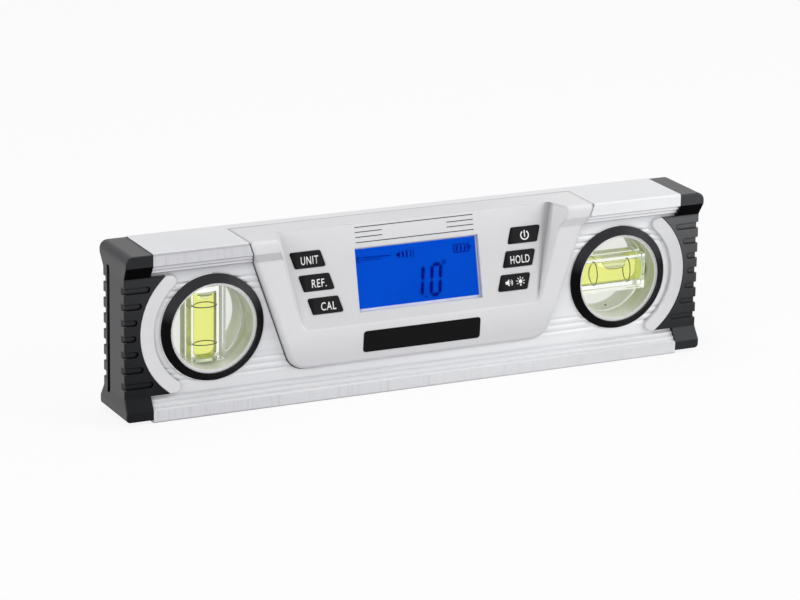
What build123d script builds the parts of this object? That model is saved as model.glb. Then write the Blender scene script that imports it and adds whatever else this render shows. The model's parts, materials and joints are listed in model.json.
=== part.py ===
"""Compact digital spirit level: extruded body, plumb vial, level vial and tilted display module.

Millimetres, +Z up, +X to the right as seen from the front, front towards -Y.
The origin is the centre of the level's base face.
"""

import os
from math import cos, radians, sin, sqrt, tan

from build123d import *

# Overall size
overall_length = 250.0
level_height = 67.0
level_depth = 28.0

# Gaps between pieces that are fitted together
fit_gap = 0.1
slide_gap = 0.25
film_gap = 0.05

# Extruded profile
cap_length = 11.0
rail_face = 4.9
rail_slope = 5.0
web_recess = 4.5
ridge_steps = 3
ridge_tread_rise = 0.65
web_groove_count = 3
web_groove_margin = 4.4
web_groove_pitch = 2.6
web_groove_width = 1.8
web_groove_depth = 0.35
web_wall = 1.8
base_wall = 3.6
rail_chamfer = 0.5

# Vials
vial_rise = 0.7
sleeve_outer_radius = 19.2
sleeve_inner_radius = 16.75
sleeve_stand = 1.4
bezel_outer_radius = 21.2
bezel_inner_radius = 18.0
bezel_rim = 0.7
bezel_height = 2.7
bar_width = 14.5
bar_depth = 12.0
bar_length = 30.0
bar_end_wall = 1.0
plumb_top_wall = 3.1
vial_web_thickness = 2.0
bore_radius = 4.85
line_spacing = 15.0
line_shift = 1.0
line_width = 0.4
line_thickness = 0.15
level_bubble_length = 10.8
level_bubble_width = 7.0
level_bubble_floor = 1.6
level_bubble_offset = 1.8
plumb_bubble_radius = 3.3
plumb_bubble_height = 2.8
bubble_round = 0.9

# Crescent trims beside the vials
trim_outer_radius = 30.0
trim_width = 5.6
trim_thickness = 1.5
trim_corner = 2.5
trim_corner_share = 0.45
trim_tip = 0.2
trim_end_distance = 6.8
trim_edge = 0.4
peg_radius = 1.2
peg_length = 1.4
peg_angle = 35.0

# End caps
cap_bottom_inset = 1.2
cap_top_inset = 0.3
cap_skin = 1.5
cap_waist_inset = 0.3
cap_end_blend = 12.0
cap_plug_depth = 5.0
cap_plug_wall = 2.0
cap_corner = 3.2
cap_foot_corner = 1.6
cap_hip_round = 1.2
cap_edge = 0.6
slot_count = 7
slot_pitch = 6.3
slot_height = 2.6
slot_depth = 0.7
slot_wrap = 3.4
slot_arc_distance = 1.5
cap_groove_width = 2.8
cap_groove_depth = 2.0
cap_groove_offset = 5.4
cap_groove_margin = 8.0

# Module outline on the profile
module_half_width = 74.4
module_side_angle = 19.5
module_bottom = 12.8
module_corner = 8.5
module_lip = 1.0
module_seam = 8.0
skirt_wall = 1.5
skirt_depth = 3.0
housing_wall = 2.0

# Module face: crest line, leaning cheeks above it, leaning band below it
crest_height = 28.0
crest_stand = 3.4
cheek_lean = 2.0
band_lean = 4.0
crest_blend = 25.0
face_round = 1.9
shoulder_round = 1.8
shoulder_drop = 3.8

# Recessed control panel, tilted back
panel_tilt = 13.2
panel_half_width = 51.3
panel_flare = 0.185
panel_below_crest = 1.2
panel_corner = 7.0
panel_draft = 25.0
panel_foot = 0.9

# Display
display_width = 51.6
display_height = 23.1
display_centre = 17.9
display_recess = 1.0
display_border = 1.0
window_overlap = 1.4
window_thickness = 1.0
lcd_thickness = 1.8

# Buttons
button_width = 12.7
button_height = 6.06
button_shear = 0.3
button_corner = 0.5
button_proud = 0.6
button_edge = 0.2
button_first_row = 9.86
button_row_pitch = 9.2
button_first_x = 41.1
button_column_lean = 0.33
button_flange = 0.8
button_flange_overlap = 0.7
button_flange_gap = 0.15
button_plunger_radius = 1.5
button_travel = 0.6
button_spare = 0.15

# Label plate on the lower band
label_width = 50.8
label_height = 8.65
label_centre = 21.3
label_corner = 1.2
label_thickness = 0.6
label_proud = 0.1

# Electronics on the tilted board
board_depth = 6.2
board_thickness = 1.6
board_width = 100.0
board_bottom = 5.0
board_roof_gap = 5.06
standoff_radius = 1.9
standoff_x = 30.2
standoff_inset = 3.0
board_screw_radius = 0.95
board_screw_head_radius = 1.8
board_screw_head = 1.2
board_screw_length = 5.0
switch_size = 5.0
switch_height = 1.5
actuator_radius = 1.3
actuator_height = 0.5
controller_size = 9.0
controller_height = 1.2
controller_x = -18.0
sensor_size = 4.0
sensor_height = 1.0
buzzer_radius = 4.5
buzzer_height = 3.5
buzzer_x = 22.0

# Battery bay in the back
cell_radius = 5.25
cell_length = 44.5
cell_nub_radius = 1.9
cell_nub_length = 0.8
cell_height = 20.2
cell_back = 2.2
cell_gap = 0.35
contact_thickness = 0.4
contact_room = 2.0
contact_width = 7.0
bay_wall = 2.2
bay_floor = 1.2
bay_ledge = 1.0
flange_thickness = 1.2
flange_margin = 1.6
flange_ear = 4.6
flange_corner = 2.0
cover_thickness = 1.4
cover_corner = 1.0
cover_seat_drop = 0.5
cover_rim_depth = 1.5
cover_rim_wall = 1.0
grip_count = 5
grip_pitch = 2.2
grip_width = 1.0
grip_length = 8.0
grip_height = 0.3

# Screws that clamp the module to the profile
boss_radius = 3.0
screw_radius = 1.25
screw_head_radius = 2.5
screw_head = 1.8
screw_length = 12.0
screw_recess_radius = 1.3
screw_recess_depth = 0.9
upper_boss_x = 61.0
upper_boss_drop = 4.1
lower_boss_height = 21.5

# Magnets let into the base
magnet_length = 22.0
magnet_width = 9.0
magnet_thickness = 2.4
magnet_recess = 0.3
magnet_x = 62.0

# Places that follow from the sizes
profile_length = overall_length - 2 * cap_length
profile_end = profile_length / 2
rail_front = level_depth / 2
web_front = rail_front - web_recess
channel_half = web_front - web_wall
rail_inner = rail_face + rail_slope
vial_x = overall_length / 2 - trim_end_distance - trim_outer_radius
vial_height = level_height / 2 + vial_rise
seat_radius = sleeve_outer_radius + fit_gap
trim_inner_radius = trim_outer_radius - trim_width
module_slope = tan(radians(module_side_angle))
module_square = cos(radians(module_side_angle))
notch_height = level_height - rail_inner
shoulder_foot = level_height - rail_face - shoulder_drop
skirt_inset = module_lip + slide_gap
cavity_inset = skirt_inset + skirt_wall
crest_forward = web_front + crest_stand
tilt_sine = sin(radians(panel_tilt))
tilt_cosine = cos(radians(panel_tilt))
cheek_top_forward = crest_forward - (level_height - crest_height) * tan(radians(cheek_lean))
shoulder_foot_forward = crest_forward - (shoulder_foot - crest_height) * tan(radians(cheek_lean))
band_bottom_forward = crest_forward - (crest_height - module_bottom) * tan(radians(band_lean))
panel_length = (level_height - crest_height) / tilt_cosine
panel_back_forward = (
    crest_forward
    - (notch_height - crest_height) * tan(radians(panel_tilt))
    - housing_wall / tilt_cosine
)
board_top = panel_length - board_roof_gap
board_centre = (board_bottom + board_top) / 2
board_height = board_top - board_bottom
bay_half_length = cell_length + contact_room
bay_half_height = cell_radius + cell_gap
bay_top = cell_height + bay_half_height + bay_wall
bay_front = cell_radius + cell_gap - cell_back
cover_half_length = bay_half_length + bay_ledge
cover_half_height = bay_half_height + bay_ledge
cover_seat = web_front - cover_seat_drop
upper_boss_height = notch_height - upper_boss_drop
lower_boss_x = bay_half_length + bay_wall + fit_gap + boss_radius
flange_half_length = lower_boss_x + flange_ear
flange_half_height = bay_half_height + bay_wall + flange_margin

# Planes of the tilted panel and of the leaning band, both facing outwards
panel = Plane(
    origin=(0, -crest_forward, crest_height),
    x_dir=(1, 0, 0),
    z_dir=(0, -tilt_cosine, tilt_sine),
)
band = Plane(
    origin=(0, -crest_forward, crest_height),
    x_dir=(1, 0, 0),
    z_dir=(0, -cos(radians(band_lean)), -sin(radians(band_lean))),
)

os.makedirs("parts", exist_ok=True)


def save(piece, name):
    """Label a finished piece and write it under its own name."""
    piece.part.label = name
    export_step(piece.part, f"parts/{name}.step")


def rail_outline():
    """Corner points of the profile's section, seen along its length."""
    step_depth = web_recess / ridge_steps
    step_rise = rail_slope / ridge_steps
    lower_front = [(-rail_front + rail_chamfer, 0), (-rail_front, rail_chamfer), (-rail_front, rail_face)]
    for step in range(ridge_steps):
        inner = -rail_front + (step + 1) * step_depth
        foot = rail_face + step * step_rise
        lower_front.append((inner, foot + ridge_tread_rise))
        lower_front.append((inner, foot + step_rise))
    lower_front.pop()
    for groove in range(web_groove_count):
        middle = rail_inner + web_groove_margin + groove * web_groove_pitch
        lower_front.append((-web_front, middle - web_groove_width / 2))
        lower_front.append((-web_front + web_groove_depth, middle))
        lower_front.append((-web_front, middle + web_groove_width / 2))
    front = lower_front + [(y, level_height - z) for y, z in reversed(lower_front)]
    return front + [(-y, z) for y, z in reversed(front)]


def module_outline(inset, top, bottom=module_bottom):
    """Corner points of the module's outline, drawn in by inset between two heights."""
    side = inset / module_square

    def half_width(height):
        return module_half_width - (level_height - height) * module_slope - side

    foot = bottom + inset
    right_side = [(half_width(foot), foot), (half_width(top), top)]
    return [(-x, height) for x, height in reversed(right_side)] + right_side


def draw_module_face(inset, top, corner):
    """Draw the module's outline with rounded lower corners in the open sketch."""
    with BuildLine() as outline:
        Polyline(*module_outline(inset, top), close=True)
    face = make_face(outline.edges())
    fillet(face.vertices().group_by(Axis.Y)[0], corner)


def key_centre(side, row):
    """Centre of one button on the panel plane."""
    centre_x = side * (button_first_x + row * button_row_pitch * button_column_lean * tilt_cosine)
    return (centre_x, button_first_row + row * button_row_pitch)


def draw_slanted_key(side, row, grow=0.0):
    """Draw one button's slanted outline, larger by grow on every side, in the open sketch."""
    centre_x, centre_v = key_centre(side, row)
    half_width = button_width / 2 + grow
    half_height = button_height / 2 + grow
    lean = side * button_shear * half_height
    with BuildLine() as outline:
        Polyline(
            (centre_x - half_width - lean, centre_v - half_height),
            (centre_x + half_width - lean, centre_v - half_height),
            (centre_x + half_width + lean, centre_v + half_height),
            (centre_x - half_width + lean, centre_v + half_height),
            close=True,
        )
    key = make_face(outline.edges())
    fillet(key.vertices(), button_corner + grow)


key_places = [(side, row) for side in (-1, 1) for row in range(3)]
key_centres = [key_centre(side, row) for side, row in key_places]
standoff_places = [
    (x, v)
    for x in (-standoff_x, standoff_x)
    for v in (board_bottom + standoff_inset, board_top - standoff_inset)
]
clamp_places = [
    (side * x, height)
    for side in (-1, 1)
    for x, height in ((upper_boss_x, upper_boss_height), (lower_boss_x, lower_boss_height))
]
vial_places = [(-vial_x, vial_height), (vial_x, vial_height)]
peg_ring = (trim_inner_radius + trim_outer_radius) / 2
peg_places = [
    (
        side * (vial_x + peg_ring * cos(radians(peg_angle))),
        vial_height + up * peg_ring * sin(radians(peg_angle)),
    )
    for side in (-1, 1)
    for up in (-1, 1)
]

# Extruded body with windows for the vials, the display module and the battery bay
with BuildPart() as profile:
    with BuildSketch(Plane.YZ.offset(-profile_end)):
        with BuildLine():
            Polyline(*rail_outline(), close=True)
        make_face()
        with Locations((0, level_height / 2)):
            Rectangle(2 * channel_half, level_height - 2 * base_wall, mode=Mode.SUBTRACT)
    extrude(amount=profile_length)
    with BuildSketch(Plane.XZ):
        with Locations(*vial_places):
            Circle(seat_radius)
    extrude(amount=level_depth, both=True, mode=Mode.SUBTRACT)
    with BuildSketch(Plane.XZ):
        draw_module_face(module_lip, notch_height, module_corner - module_lip)
    extrude(amount=level_depth, mode=Mode.SUBTRACT)
    with BuildSketch(Plane.XZ.offset(-module_seam)):
        with BuildLine():
            Polyline(*module_outline(0, level_height + rail_face, notch_height), close=True)
        make_face()
    extrude(amount=level_depth, mode=Mode.SUBTRACT)
    with BuildSketch(Plane.XZ):
        with Locations((0, cell_height)):
            Rectangle(
                2 * (bay_half_length + bay_wall + fit_gap),
                2 * (bay_half_height + bay_wall + fit_gap),
            )
        with Locations(*clamp_places):
            Circle(screw_radius + slide_gap)
    extrude(amount=-level_depth, mode=Mode.SUBTRACT)
    for front in (1, -1):
        with BuildSketch(Plane.XZ.offset(front * web_front)):
            with Locations(*peg_places):
                Circle(peg_radius + fit_gap)
        extrude(amount=-front * web_wall, mode=Mode.SUBTRACT)
    with BuildSketch(Plane.XY):
        with Locations((-magnet_x, 0), (magnet_x, 0)):
            Rectangle(magnet_length + 2 * fit_gap, magnet_width + 2 * fit_gap)
    extrude(amount=magnet_thickness + magnet_recess, mode=Mode.SUBTRACT)
save(profile, "profile")

# Bar magnets in the base
with BuildPart() as base_magnets:
    with BuildSketch(Plane.XY.offset(magnet_recess)):
        with Locations((-magnet_x, 0), (magnet_x, 0)):
            Rectangle(magnet_length, magnet_width)
    extrude(amount=magnet_thickness)
save(base_magnets, "base_magnets")

# Front housing: leaning face, shoulders that carry on the top rail, roof and recessed panel
with BuildPart() as housing_cavity:
    with BuildSketch(Plane.XZ.offset(crest_forward)):
        draw_module_face(cavity_inset, level_height - housing_wall, module_corner - cavity_inset)
    extrude(amount=-(crest_forward + module_seam + housing_wall))
    split(bisect_by=panel.offset(-housing_wall), keep=Keep.BOTTOM)
    split(bisect_by=band.offset(-housing_wall), keep=Keep.BOTTOM)

with BuildPart() as panel_recess:
    top_reach = panel_length + shoulder_drop
    with BuildSketch(panel):
        with BuildLine():
            Polyline(
                (-panel_half_width + panel_flare * panel_below_crest, -panel_below_crest),
                (panel_half_width - panel_flare * panel_below_crest, -panel_below_crest),
                (panel_half_width + panel_flare * top_reach, top_reach),
                (-panel_half_width - panel_flare * top_reach, top_reach),
                close=True,
            )
        recess_floor = make_face()
        fillet(recess_floor.vertices().group_by(Axis.Y)[0], panel_corner)
    extrude(amount=level_depth, taper=-panel_draft)
    floor_face = panel_recess.faces().sort_by(Axis(panel.origin, panel.z_dir))[0]
    fillet(floor_face.edges(), panel_foot)

with BuildPart() as front_housing:
    with BuildSketch(Plane.XZ.offset(web_front)):
        draw_module_face(fit_gap, level_height, module_corner)
    extrude(amount=crest_forward - web_front)
    with BuildSketch(Plane.YZ):
        with BuildLine():
            Polyline(
                (-web_front, level_height),
                (-cheek_top_forward, level_height),
                (-crest_forward, crest_height),
                (-band_bottom_forward, module_bottom),
                (-web_front, module_bottom),
                close=True,
            )
        side_view = make_face()
        fillet(side_view.vertices().sort_by(Axis.X)[0], crest_blend)
    extrude(amount=module_half_width, both=True, mode=Mode.INTERSECT)
    walls = front_housing.faces().filter_by(lambda f: abs(f.normal_at().Y) < 0.01 and f.normal_at().Z < 0.5)
    rim = [
        edge
        for edge in walls.edges()
        if max(vertex.Y for vertex in edge.vertices()) < -web_front - fit_gap
    ]
    fillet(rim, face_round)
    with BuildSketch(Plane.XZ.offset(-module_seam + fit_gap)):
        with BuildLine():
            Polyline(*module_outline(fit_gap, level_height, notch_height), close=True)
        make_face()
    extrude(amount=module_seam - fit_gap + web_front)
    with BuildSketch(Plane.XZ.offset(web_front)):
        with BuildLine():
            Polyline(*module_outline(fit_gap, level_height, shoulder_foot), close=True)
        make_face()
    extrude(amount=web_recess)
    top_front = front_housing.edges().filter_by(Axis.X).group_by(Axis.Z)[-1].sort_by(Axis.Y)[0]
    fillet(top_front, shoulder_round)
    with BuildSketch(Plane.YZ):
        with BuildLine():
            Polyline(
                (-rail_front, level_height - rail_face),
                (-shoulder_foot_forward, shoulder_foot),
                (-rail_front, shoulder_foot),
                close=True,
            )
        make_face()
    extrude(amount=module_half_width, both=True, mode=Mode.SUBTRACT)
    with BuildSketch(Plane.XZ.offset(web_front - skirt_depth)):
        draw_module_face(skirt_inset, notch_height, module_corner - skirt_inset)
    extrude(amount=skirt_depth)
    with BuildSketch(Plane.XZ.offset(panel_back_forward)):
        with BuildLine():
            Polyline(*module_outline(skirt_inset, notch_height + fit_gap, bay_top), close=True)
        make_face()
    extrude(amount=web_front - panel_back_forward)
    add(panel_recess.part, mode=Mode.SUBTRACT)
    add(housing_cavity.part, mode=Mode.SUBTRACT)
    # Standoffs for the board and bosses for the clamp screws
    with BuildSketch(panel.offset(-board_depth)):
        with Locations(*standoff_places):
            Circle(standoff_radius)
    extrude(amount=board_depth - housing_wall)
    with BuildSketch(Plane.XZ.offset(-channel_half + fit_gap)):
        with Locations(*clamp_places):
            Circle(boss_radius)
    extrude(until=Until.NEXT)
    with BuildSketch(panel.offset(-board_depth)):
        with Locations(*standoff_places):
            Circle(board_screw_radius + fit_gap)
    extrude(amount=board_screw_length - board_thickness + fit_gap, mode=Mode.SUBTRACT)
    with BuildSketch(Plane.XZ.offset(-channel_half + fit_gap)):
        with Locations(*clamp_places):
            Circle(screw_radius + fit_gap)
    extrude(amount=screw_length, mode=Mode.SUBTRACT)
    # Openings for the display and the buttons
    with BuildSketch(panel):
        with Locations((0, display_centre)):
            Rectangle(display_width + 2 * display_border, display_height + 2 * display_border)
    extrude(amount=-housing_wall, mode=Mode.SUBTRACT)
    with BuildSketch(panel.offset(-display_recess)):
        with Locations((0, display_centre)):
            Rectangle(
                display_width + 2 * (window_overlap + display_border + fit_gap),
                display_height + 2 * (window_overlap + display_border + fit_gap),
            )
    extrude(amount=-housing_wall, mode=Mode.SUBTRACT)
    for side, row in key_places:
        with BuildSketch(panel):
            draw_slanted_key(side, row, slide_gap)
        extrude(amount=-housing_wall, mode=Mode.SUBTRACT)
    # Shallow seat for the label plate
    label_v = (label_centre - crest_height) / cos(radians(band_lean))
    with BuildSketch(band):
        with Locations((0, label_v)):
            RectangleRounded(label_width + 2 * fit_gap, label_height + 2 * fit_gap, label_corner + fit_gap)
    extrude(amount=-(label_thickness - label_proud), mode=Mode.SUBTRACT)
save(front_housing, "front_housing")

# Bare label plate in its seat on the lower band
with BuildPart() as label_plate:
    with BuildSketch(band.offset(label_proud)):
        with Locations((0, label_v)):
            RectangleRounded(label_width, label_height, label_corner)
    extrude(amount=-label_thickness)
save(label_plate, "label_plate")

# Display stack behind the panel: clear window, liquid crystal panel, backlight
window_width = display_width + 2 * (window_overlap + display_border)
window_height = display_height + 2 * (window_overlap + display_border)
with BuildPart() as display_window:
    with BuildSketch(panel.offset(-display_recess)):
        with Locations((0, display_centre)):
            Rectangle(window_width, window_height)
    extrude(amount=-window_thickness)
save(display_window, "display_window")

lcd_depth = display_recess + window_thickness
with BuildPart() as lcd_panel:
    with BuildSketch(panel.offset(-lcd_depth)):
        with Locations((0, display_centre)):
            Rectangle(window_width, window_height)
    extrude(amount=-lcd_thickness)
save(lcd_panel, "lcd_panel")

backlight_depth = lcd_depth + lcd_thickness
with BuildPart() as backlight:
    with BuildSketch(panel.offset(-backlight_depth)):
        with Locations((0, display_centre)):
            Rectangle(window_width, window_height)
    extrude(amount=-(board_depth - backlight_depth))
save(backlight, "backlight")

# Circuit board and what is soldered to it
board_back = board_depth + board_thickness
with BuildPart() as main_board:
    with BuildSketch(panel.offset(-board_depth)):
        with Locations((0, board_centre)):
            Rectangle(board_width, board_height)
        with Locations(*standoff_places):
            Circle(board_screw_radius + slide_gap, mode=Mode.SUBTRACT)
    extrude(amount=-board_thickness)
save(main_board, "main_board")

with BuildPart() as tact_switches:
    with BuildSketch(panel.offset(-board_depth)):
        with Locations(*key_centres):
            Rectangle(switch_size, switch_size)
    extrude(amount=switch_height)
    with BuildSketch(panel.offset(-board_depth + switch_height)):
        with Locations(*key_centres):
            Circle(actuator_radius)
    extrude(amount=actuator_height)
save(tact_switches, "tact_switches")

with BuildPart() as controller_chip:
    with BuildSketch(panel.offset(-board_back)):
        with Locations((controller_x, board_centre)):
            Rectangle(controller_size, controller_size)
    extrude(amount=-controller_height)
save(controller_chip, "controller_chip")

with BuildPart() as tilt_sensor:
    with BuildSketch(panel.offset(-board_back)):
        with Locations((0, board_centre)):
            Rectangle(sensor_size, sensor_size)
    extrude(amount=-sensor_height)
save(tilt_sensor, "tilt_sensor")

with BuildPart() as buzzer:
    with BuildSketch(panel.offset(-board_back)):
        with Locations((buzzer_x, board_centre)):
            Circle(buzzer_radius)
    extrude(amount=-buzzer_height)
save(buzzer, "buzzer")

with BuildPart() as board_screws:
    with BuildSketch(panel.offset(-board_back)):
        with Locations(*standoff_places):
            Circle(board_screw_radius)
    extrude(amount=board_screw_length)
    with BuildSketch(panel.offset(-board_back)):
        with Locations(*standoff_places):
            Circle(board_screw_head_radius)
    extrude(amount=-board_screw_head)
save(board_screws, "board_screws")

# Push buttons, each held behind the panel by its flange
flange_depth = housing_wall + button_flange_gap
plunger_end = board_depth - switch_height - actuator_height - button_travel - button_spare
key_names = [
    "calibrate_button",
    "reference_button",
    "unit_button",
    "sound_light_button",
    "hold_button",
    "power_button",
]
for key_name, (side, row) in zip(key_names, key_places):
    with BuildPart() as button:
        with BuildSketch(panel.offset(button_proud)):
            draw_slanted_key(side, row)
        extrude(amount=-(button_proud + flange_depth))
        crown = button.faces().sort_by(Axis(panel.origin, panel.z_dir))[-1]
        fillet(crown.edges(), button_edge)
        with BuildSketch(panel.offset(-flange_depth)):
            draw_slanted_key(side, row, button_flange_overlap)
        extrude(amount=-button_flange)
        with BuildSketch(panel.offset(-flange_depth - button_flange)):
            with Locations(key_centre(side, row)):
                Circle(button_plunger_radius)
        extrude(amount=-(plunger_end - flange_depth - button_flange))
    save(button, key_name)

# Battery bay let into the back, with its flange outside the web
with BuildPart() as battery_bay:
    with BuildSketch(Plane.XZ.offset(-web_front)):
        with Locations((0, cell_height)):
            Rectangle(2 * (bay_half_length + bay_wall), 2 * (bay_half_height + bay_wall))
    extrude(amount=web_front + bay_front + bay_floor)
    with BuildSketch(Plane.XZ.offset(-web_front)):
        with Locations((0, cell_height)):
            RectangleRounded(2 * flange_half_length, 2 * flange_half_height, flange_corner)
    extrude(amount=-flange_thickness)
    with BuildSketch(Plane.XZ.offset(bay_front)):
        with Locations((0, cell_height)):
            Rectangle(2 * bay_half_length, 2 * bay_half_height)
    extrude(amount=-(bay_front + level_depth), mode=Mode.SUBTRACT)
    with BuildSketch(Plane.XZ.offset(-cover_seat)):
        with Locations((0, cell_height)):
            RectangleRounded(
                2 * (cover_half_length + slide_gap),
                2 * (cover_half_height + slide_gap),
                cover_corner + slide_gap,
            )
        with Locations(*[place for place in clamp_places if place[1] == lower_boss_height]):
            Circle(screw_radius + slide_gap)
    extrude(amount=-level_depth, mode=Mode.SUBTRACT)
save(battery_bay, "battery_bay")

# Lift-off battery cover with a ribbed grip
with BuildPart() as battery_cover:
    with BuildSketch(Plane.XZ.offset(-cover_seat)):
        with Locations((0, cell_height)):
            RectangleRounded(2 * cover_half_length, 2 * cover_half_height, cover_corner)
    extrude(amount=-cover_thickness)
    with BuildSketch(Plane.XZ.offset(-cover_seat)):
        with Locations((0, cell_height)):
            Rectangle(2 * (bay_half_length - slide_gap), 2 * (bay_half_height - slide_gap))
        offset(amount=-cover_rim_wall, mode=Mode.SUBTRACT)
    extrude(amount=cover_rim_depth)
    grip_x = cover_half_length - grip_count * grip_pitch
    with BuildSketch(Plane.XZ.offset(-cover_seat - cover_thickness)):
        with Locations((grip_x, cell_height)):
            with GridLocations(grip_pitch, 0, grip_count, 1):
                SlotOverall(grip_length, grip_width, rotation=90)
    extrude(amount=-grip_height)
save(battery_cover, "battery_cover")

# Two cells end to end, the contact nub of each towards -X
for cell_name, cell_x in (("left_cell", -cell_length / 2), ("right_cell", cell_length / 2)):
    body_length = cell_length - cell_nub_length
    with BuildPart() as cell:
        with BuildSketch(Plane.YZ.offset(cell_x + cell_length / 2)):
            with Locations((cell_back, cell_height)):
                Circle(cell_radius)
        extrude(amount=-body_length)
        with BuildSketch(Plane.YZ.offset(cell_x - cell_length / 2)):
            with Locations((cell_back, cell_height)):
                Circle(cell_nub_radius)
        extrude(amount=cell_nub_length)
    save(cell, cell_name)

# Bent leaf contacts at the two ends of the bay
with BuildPart() as battery_contacts:
    for end in (-1, 1):
        wall = end * bay_half_length
        tongue = end * (cell_length + contact_thickness)
        with BuildSketch(Plane.XZ.offset(-cell_back + contact_width / 2)):
            with BuildLine():
                leaf = Polyline(
                    (wall - end * contact_thickness / 2, cell_height - cell_radius + contact_thickness),
                    (wall - end * contact_thickness / 2, cell_height + cell_radius / 2),
                    (tongue, cell_height),
                    (tongue, cell_height - cell_radius / 3),
                )
                offset(leaf, contact_thickness / 2, kind=Kind.INTERSECTION, side=Side.BOTH)
            make_face()
        extrude(amount=-contact_width)
save(battery_contacts, "battery_contacts")

# Screws through the back that clamp the module's two halves to the profile
with BuildPart() as clamp_screws:
    for place in clamp_places:
        seat = web_front + (flange_thickness if place[1] == lower_boss_height else 0)
        with BuildSketch(Plane.XZ.offset(-seat)):
            with Locations(place):
                Circle(screw_radius)
        extrude(amount=screw_length)
        with BuildSketch(Plane.XZ.offset(-seat)):
            with Locations(place):
                Circle(screw_head_radius)
        extrude(amount=-screw_head)
        with BuildSketch(Plane.XZ.offset(-seat - screw_head)):
            with Locations(place):
                RegularPolygon(screw_recess_radius, 6)
        extrude(amount=screw_recess_depth, mode=Mode.SUBTRACT)
save(clamp_screws, "clamp_screws")

# Vials, plumb on the left and level on the right, each in its sleeve with a bezel at both ends
sleeve_half = web_front + sleeve_stand
line_outer = bore_radius - film_gap
line_inner = line_outer - line_thickness
spirit_radius = line_inner - film_gap
spirit_low = bar_length / 2 - bar_end_wall - fit_gap
bubble_radius = spirit_radius - fit_gap
for vial_name, centre_x, along, across, end_wall in (
    ("plumb", -vial_x, (0, 0, 1), (1, 0, 0), plumb_top_wall),
    ("level", vial_x, (-1, 0, 0), (0, 0, 1), bar_end_wall),
):
    spirit_high = bar_length / 2 - end_wall - fit_gap
    vial = Plane(origin=(centre_x, 0, vial_height), x_dir=across, z_dir=along)
    with BuildPart() as vial_sleeve:
        with BuildSketch(Plane.XZ.offset(-sleeve_half)):
            with Locations((centre_x, vial_height)):
                Circle(sleeve_outer_radius)
                Circle(sleeve_inner_radius, mode=Mode.SUBTRACT)
        extrude(amount=2 * sleeve_half)
    save(vial_sleeve, f"{vial_name}_sleeve")

    for face_name, front in (("front", 1), ("rear", -1)):
        with BuildPart() as bezel:
            with BuildSketch(Plane(origin=(centre_x, 0, vial_height))):
                with BuildLine():
                    Polyline(
                        (seat_radius, -front * web_front),
                        (bezel_outer_radius, -front * web_front),
                        (bezel_outer_radius, -front * (web_front + bezel_rim)),
                        (bezel_inner_radius, -front * (web_front + bezel_height)),
                        (bezel_inner_radius, -front * (sleeve_half + fit_gap)),
                        (seat_radius, -front * (sleeve_half + fit_gap)),
                        close=True,
                    )
                make_face()
            revolve(axis=Axis((centre_x, 0, vial_height), (0, 1, 0)))
        save(bezel, f"{vial_name}_{face_name}_bezel")

    # Clear bar with its web across the sleeve, bored from one end for the spirit
    with BuildPart() as vial_body:
        with BuildSketch(Plane.XZ.offset(-vial_web_thickness / 2)):
            with Locations((centre_x, vial_height)):
                Circle(sleeve_inner_radius - fit_gap)
        extrude(amount=vial_web_thickness)
        with BuildSketch(vial.offset(-bar_length / 2)):
            Rectangle(bar_width, bar_depth)
        extrude(amount=bar_length)
        with BuildSketch(vial.offset(-sleeve_inner_radius)):
            Circle(bore_radius)
        extrude(amount=sleeve_inner_radius + bar_length / 2 - end_wall, mode=Mode.SUBTRACT)
    save(vial_body, f"{vial_name}_vial_body")

    with BuildPart() as vial_plug:
        with BuildSketch(vial.offset(-bar_length / 2)):
            Circle(line_outer)
        extrude(amount=bar_end_wall)
    save(vial_plug, f"{vial_name}_vial_plug")

    with BuildPart() as vial_lines:
        for line_at in (-line_spacing / 2 - line_shift, line_spacing / 2 - line_shift):
            with BuildSketch(vial.offset(line_at - line_width / 2)):
                Circle(line_outer)
                Circle(line_inner, mode=Mode.SUBTRACT)
            extrude(amount=line_width)
    save(vial_lines, f"{vial_name}_vial_lines")

    with BuildPart() as vial_spirit:
        with BuildSketch(vial.offset(-spirit_low)):
            Circle(spirit_radius)
            if vial_name == "plumb":
                Circle(plumb_bubble_radius + slide_gap, mode=Mode.SUBTRACT)
            else:
                with Locations((spirit_radius + level_bubble_floor - slide_gap, 0)):
                    Rectangle(2 * spirit_radius, 2 * spirit_radius, mode=Mode.SUBTRACT)
        extrude(amount=spirit_low + spirit_high)
    save(vial_spirit, f"{vial_name}_vial_spirit")

    with BuildPart() as bubble:
        if vial_name == "plumb":
            with BuildSketch(vial.offset(spirit_high)):
                Circle(plumb_bubble_radius)
            extrude(amount=-plumb_bubble_height)
            fillet(bubble.edges(), bubble_round)
        else:
            with BuildSketch(Plane.XY.offset(vial_height + level_bubble_floor)):
                with Locations((centre_x + level_bubble_offset, 0)):
                    SlotOverall(level_bubble_length, level_bubble_width)
            extrude(amount=bubble_radius)
            with BuildSketch(vial.offset(-bar_length / 2)):
                Circle(bubble_radius)
            extrude(amount=bar_length, mode=Mode.INTERSECT)
    save(bubble, f"{vial_name}_bubble")

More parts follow.
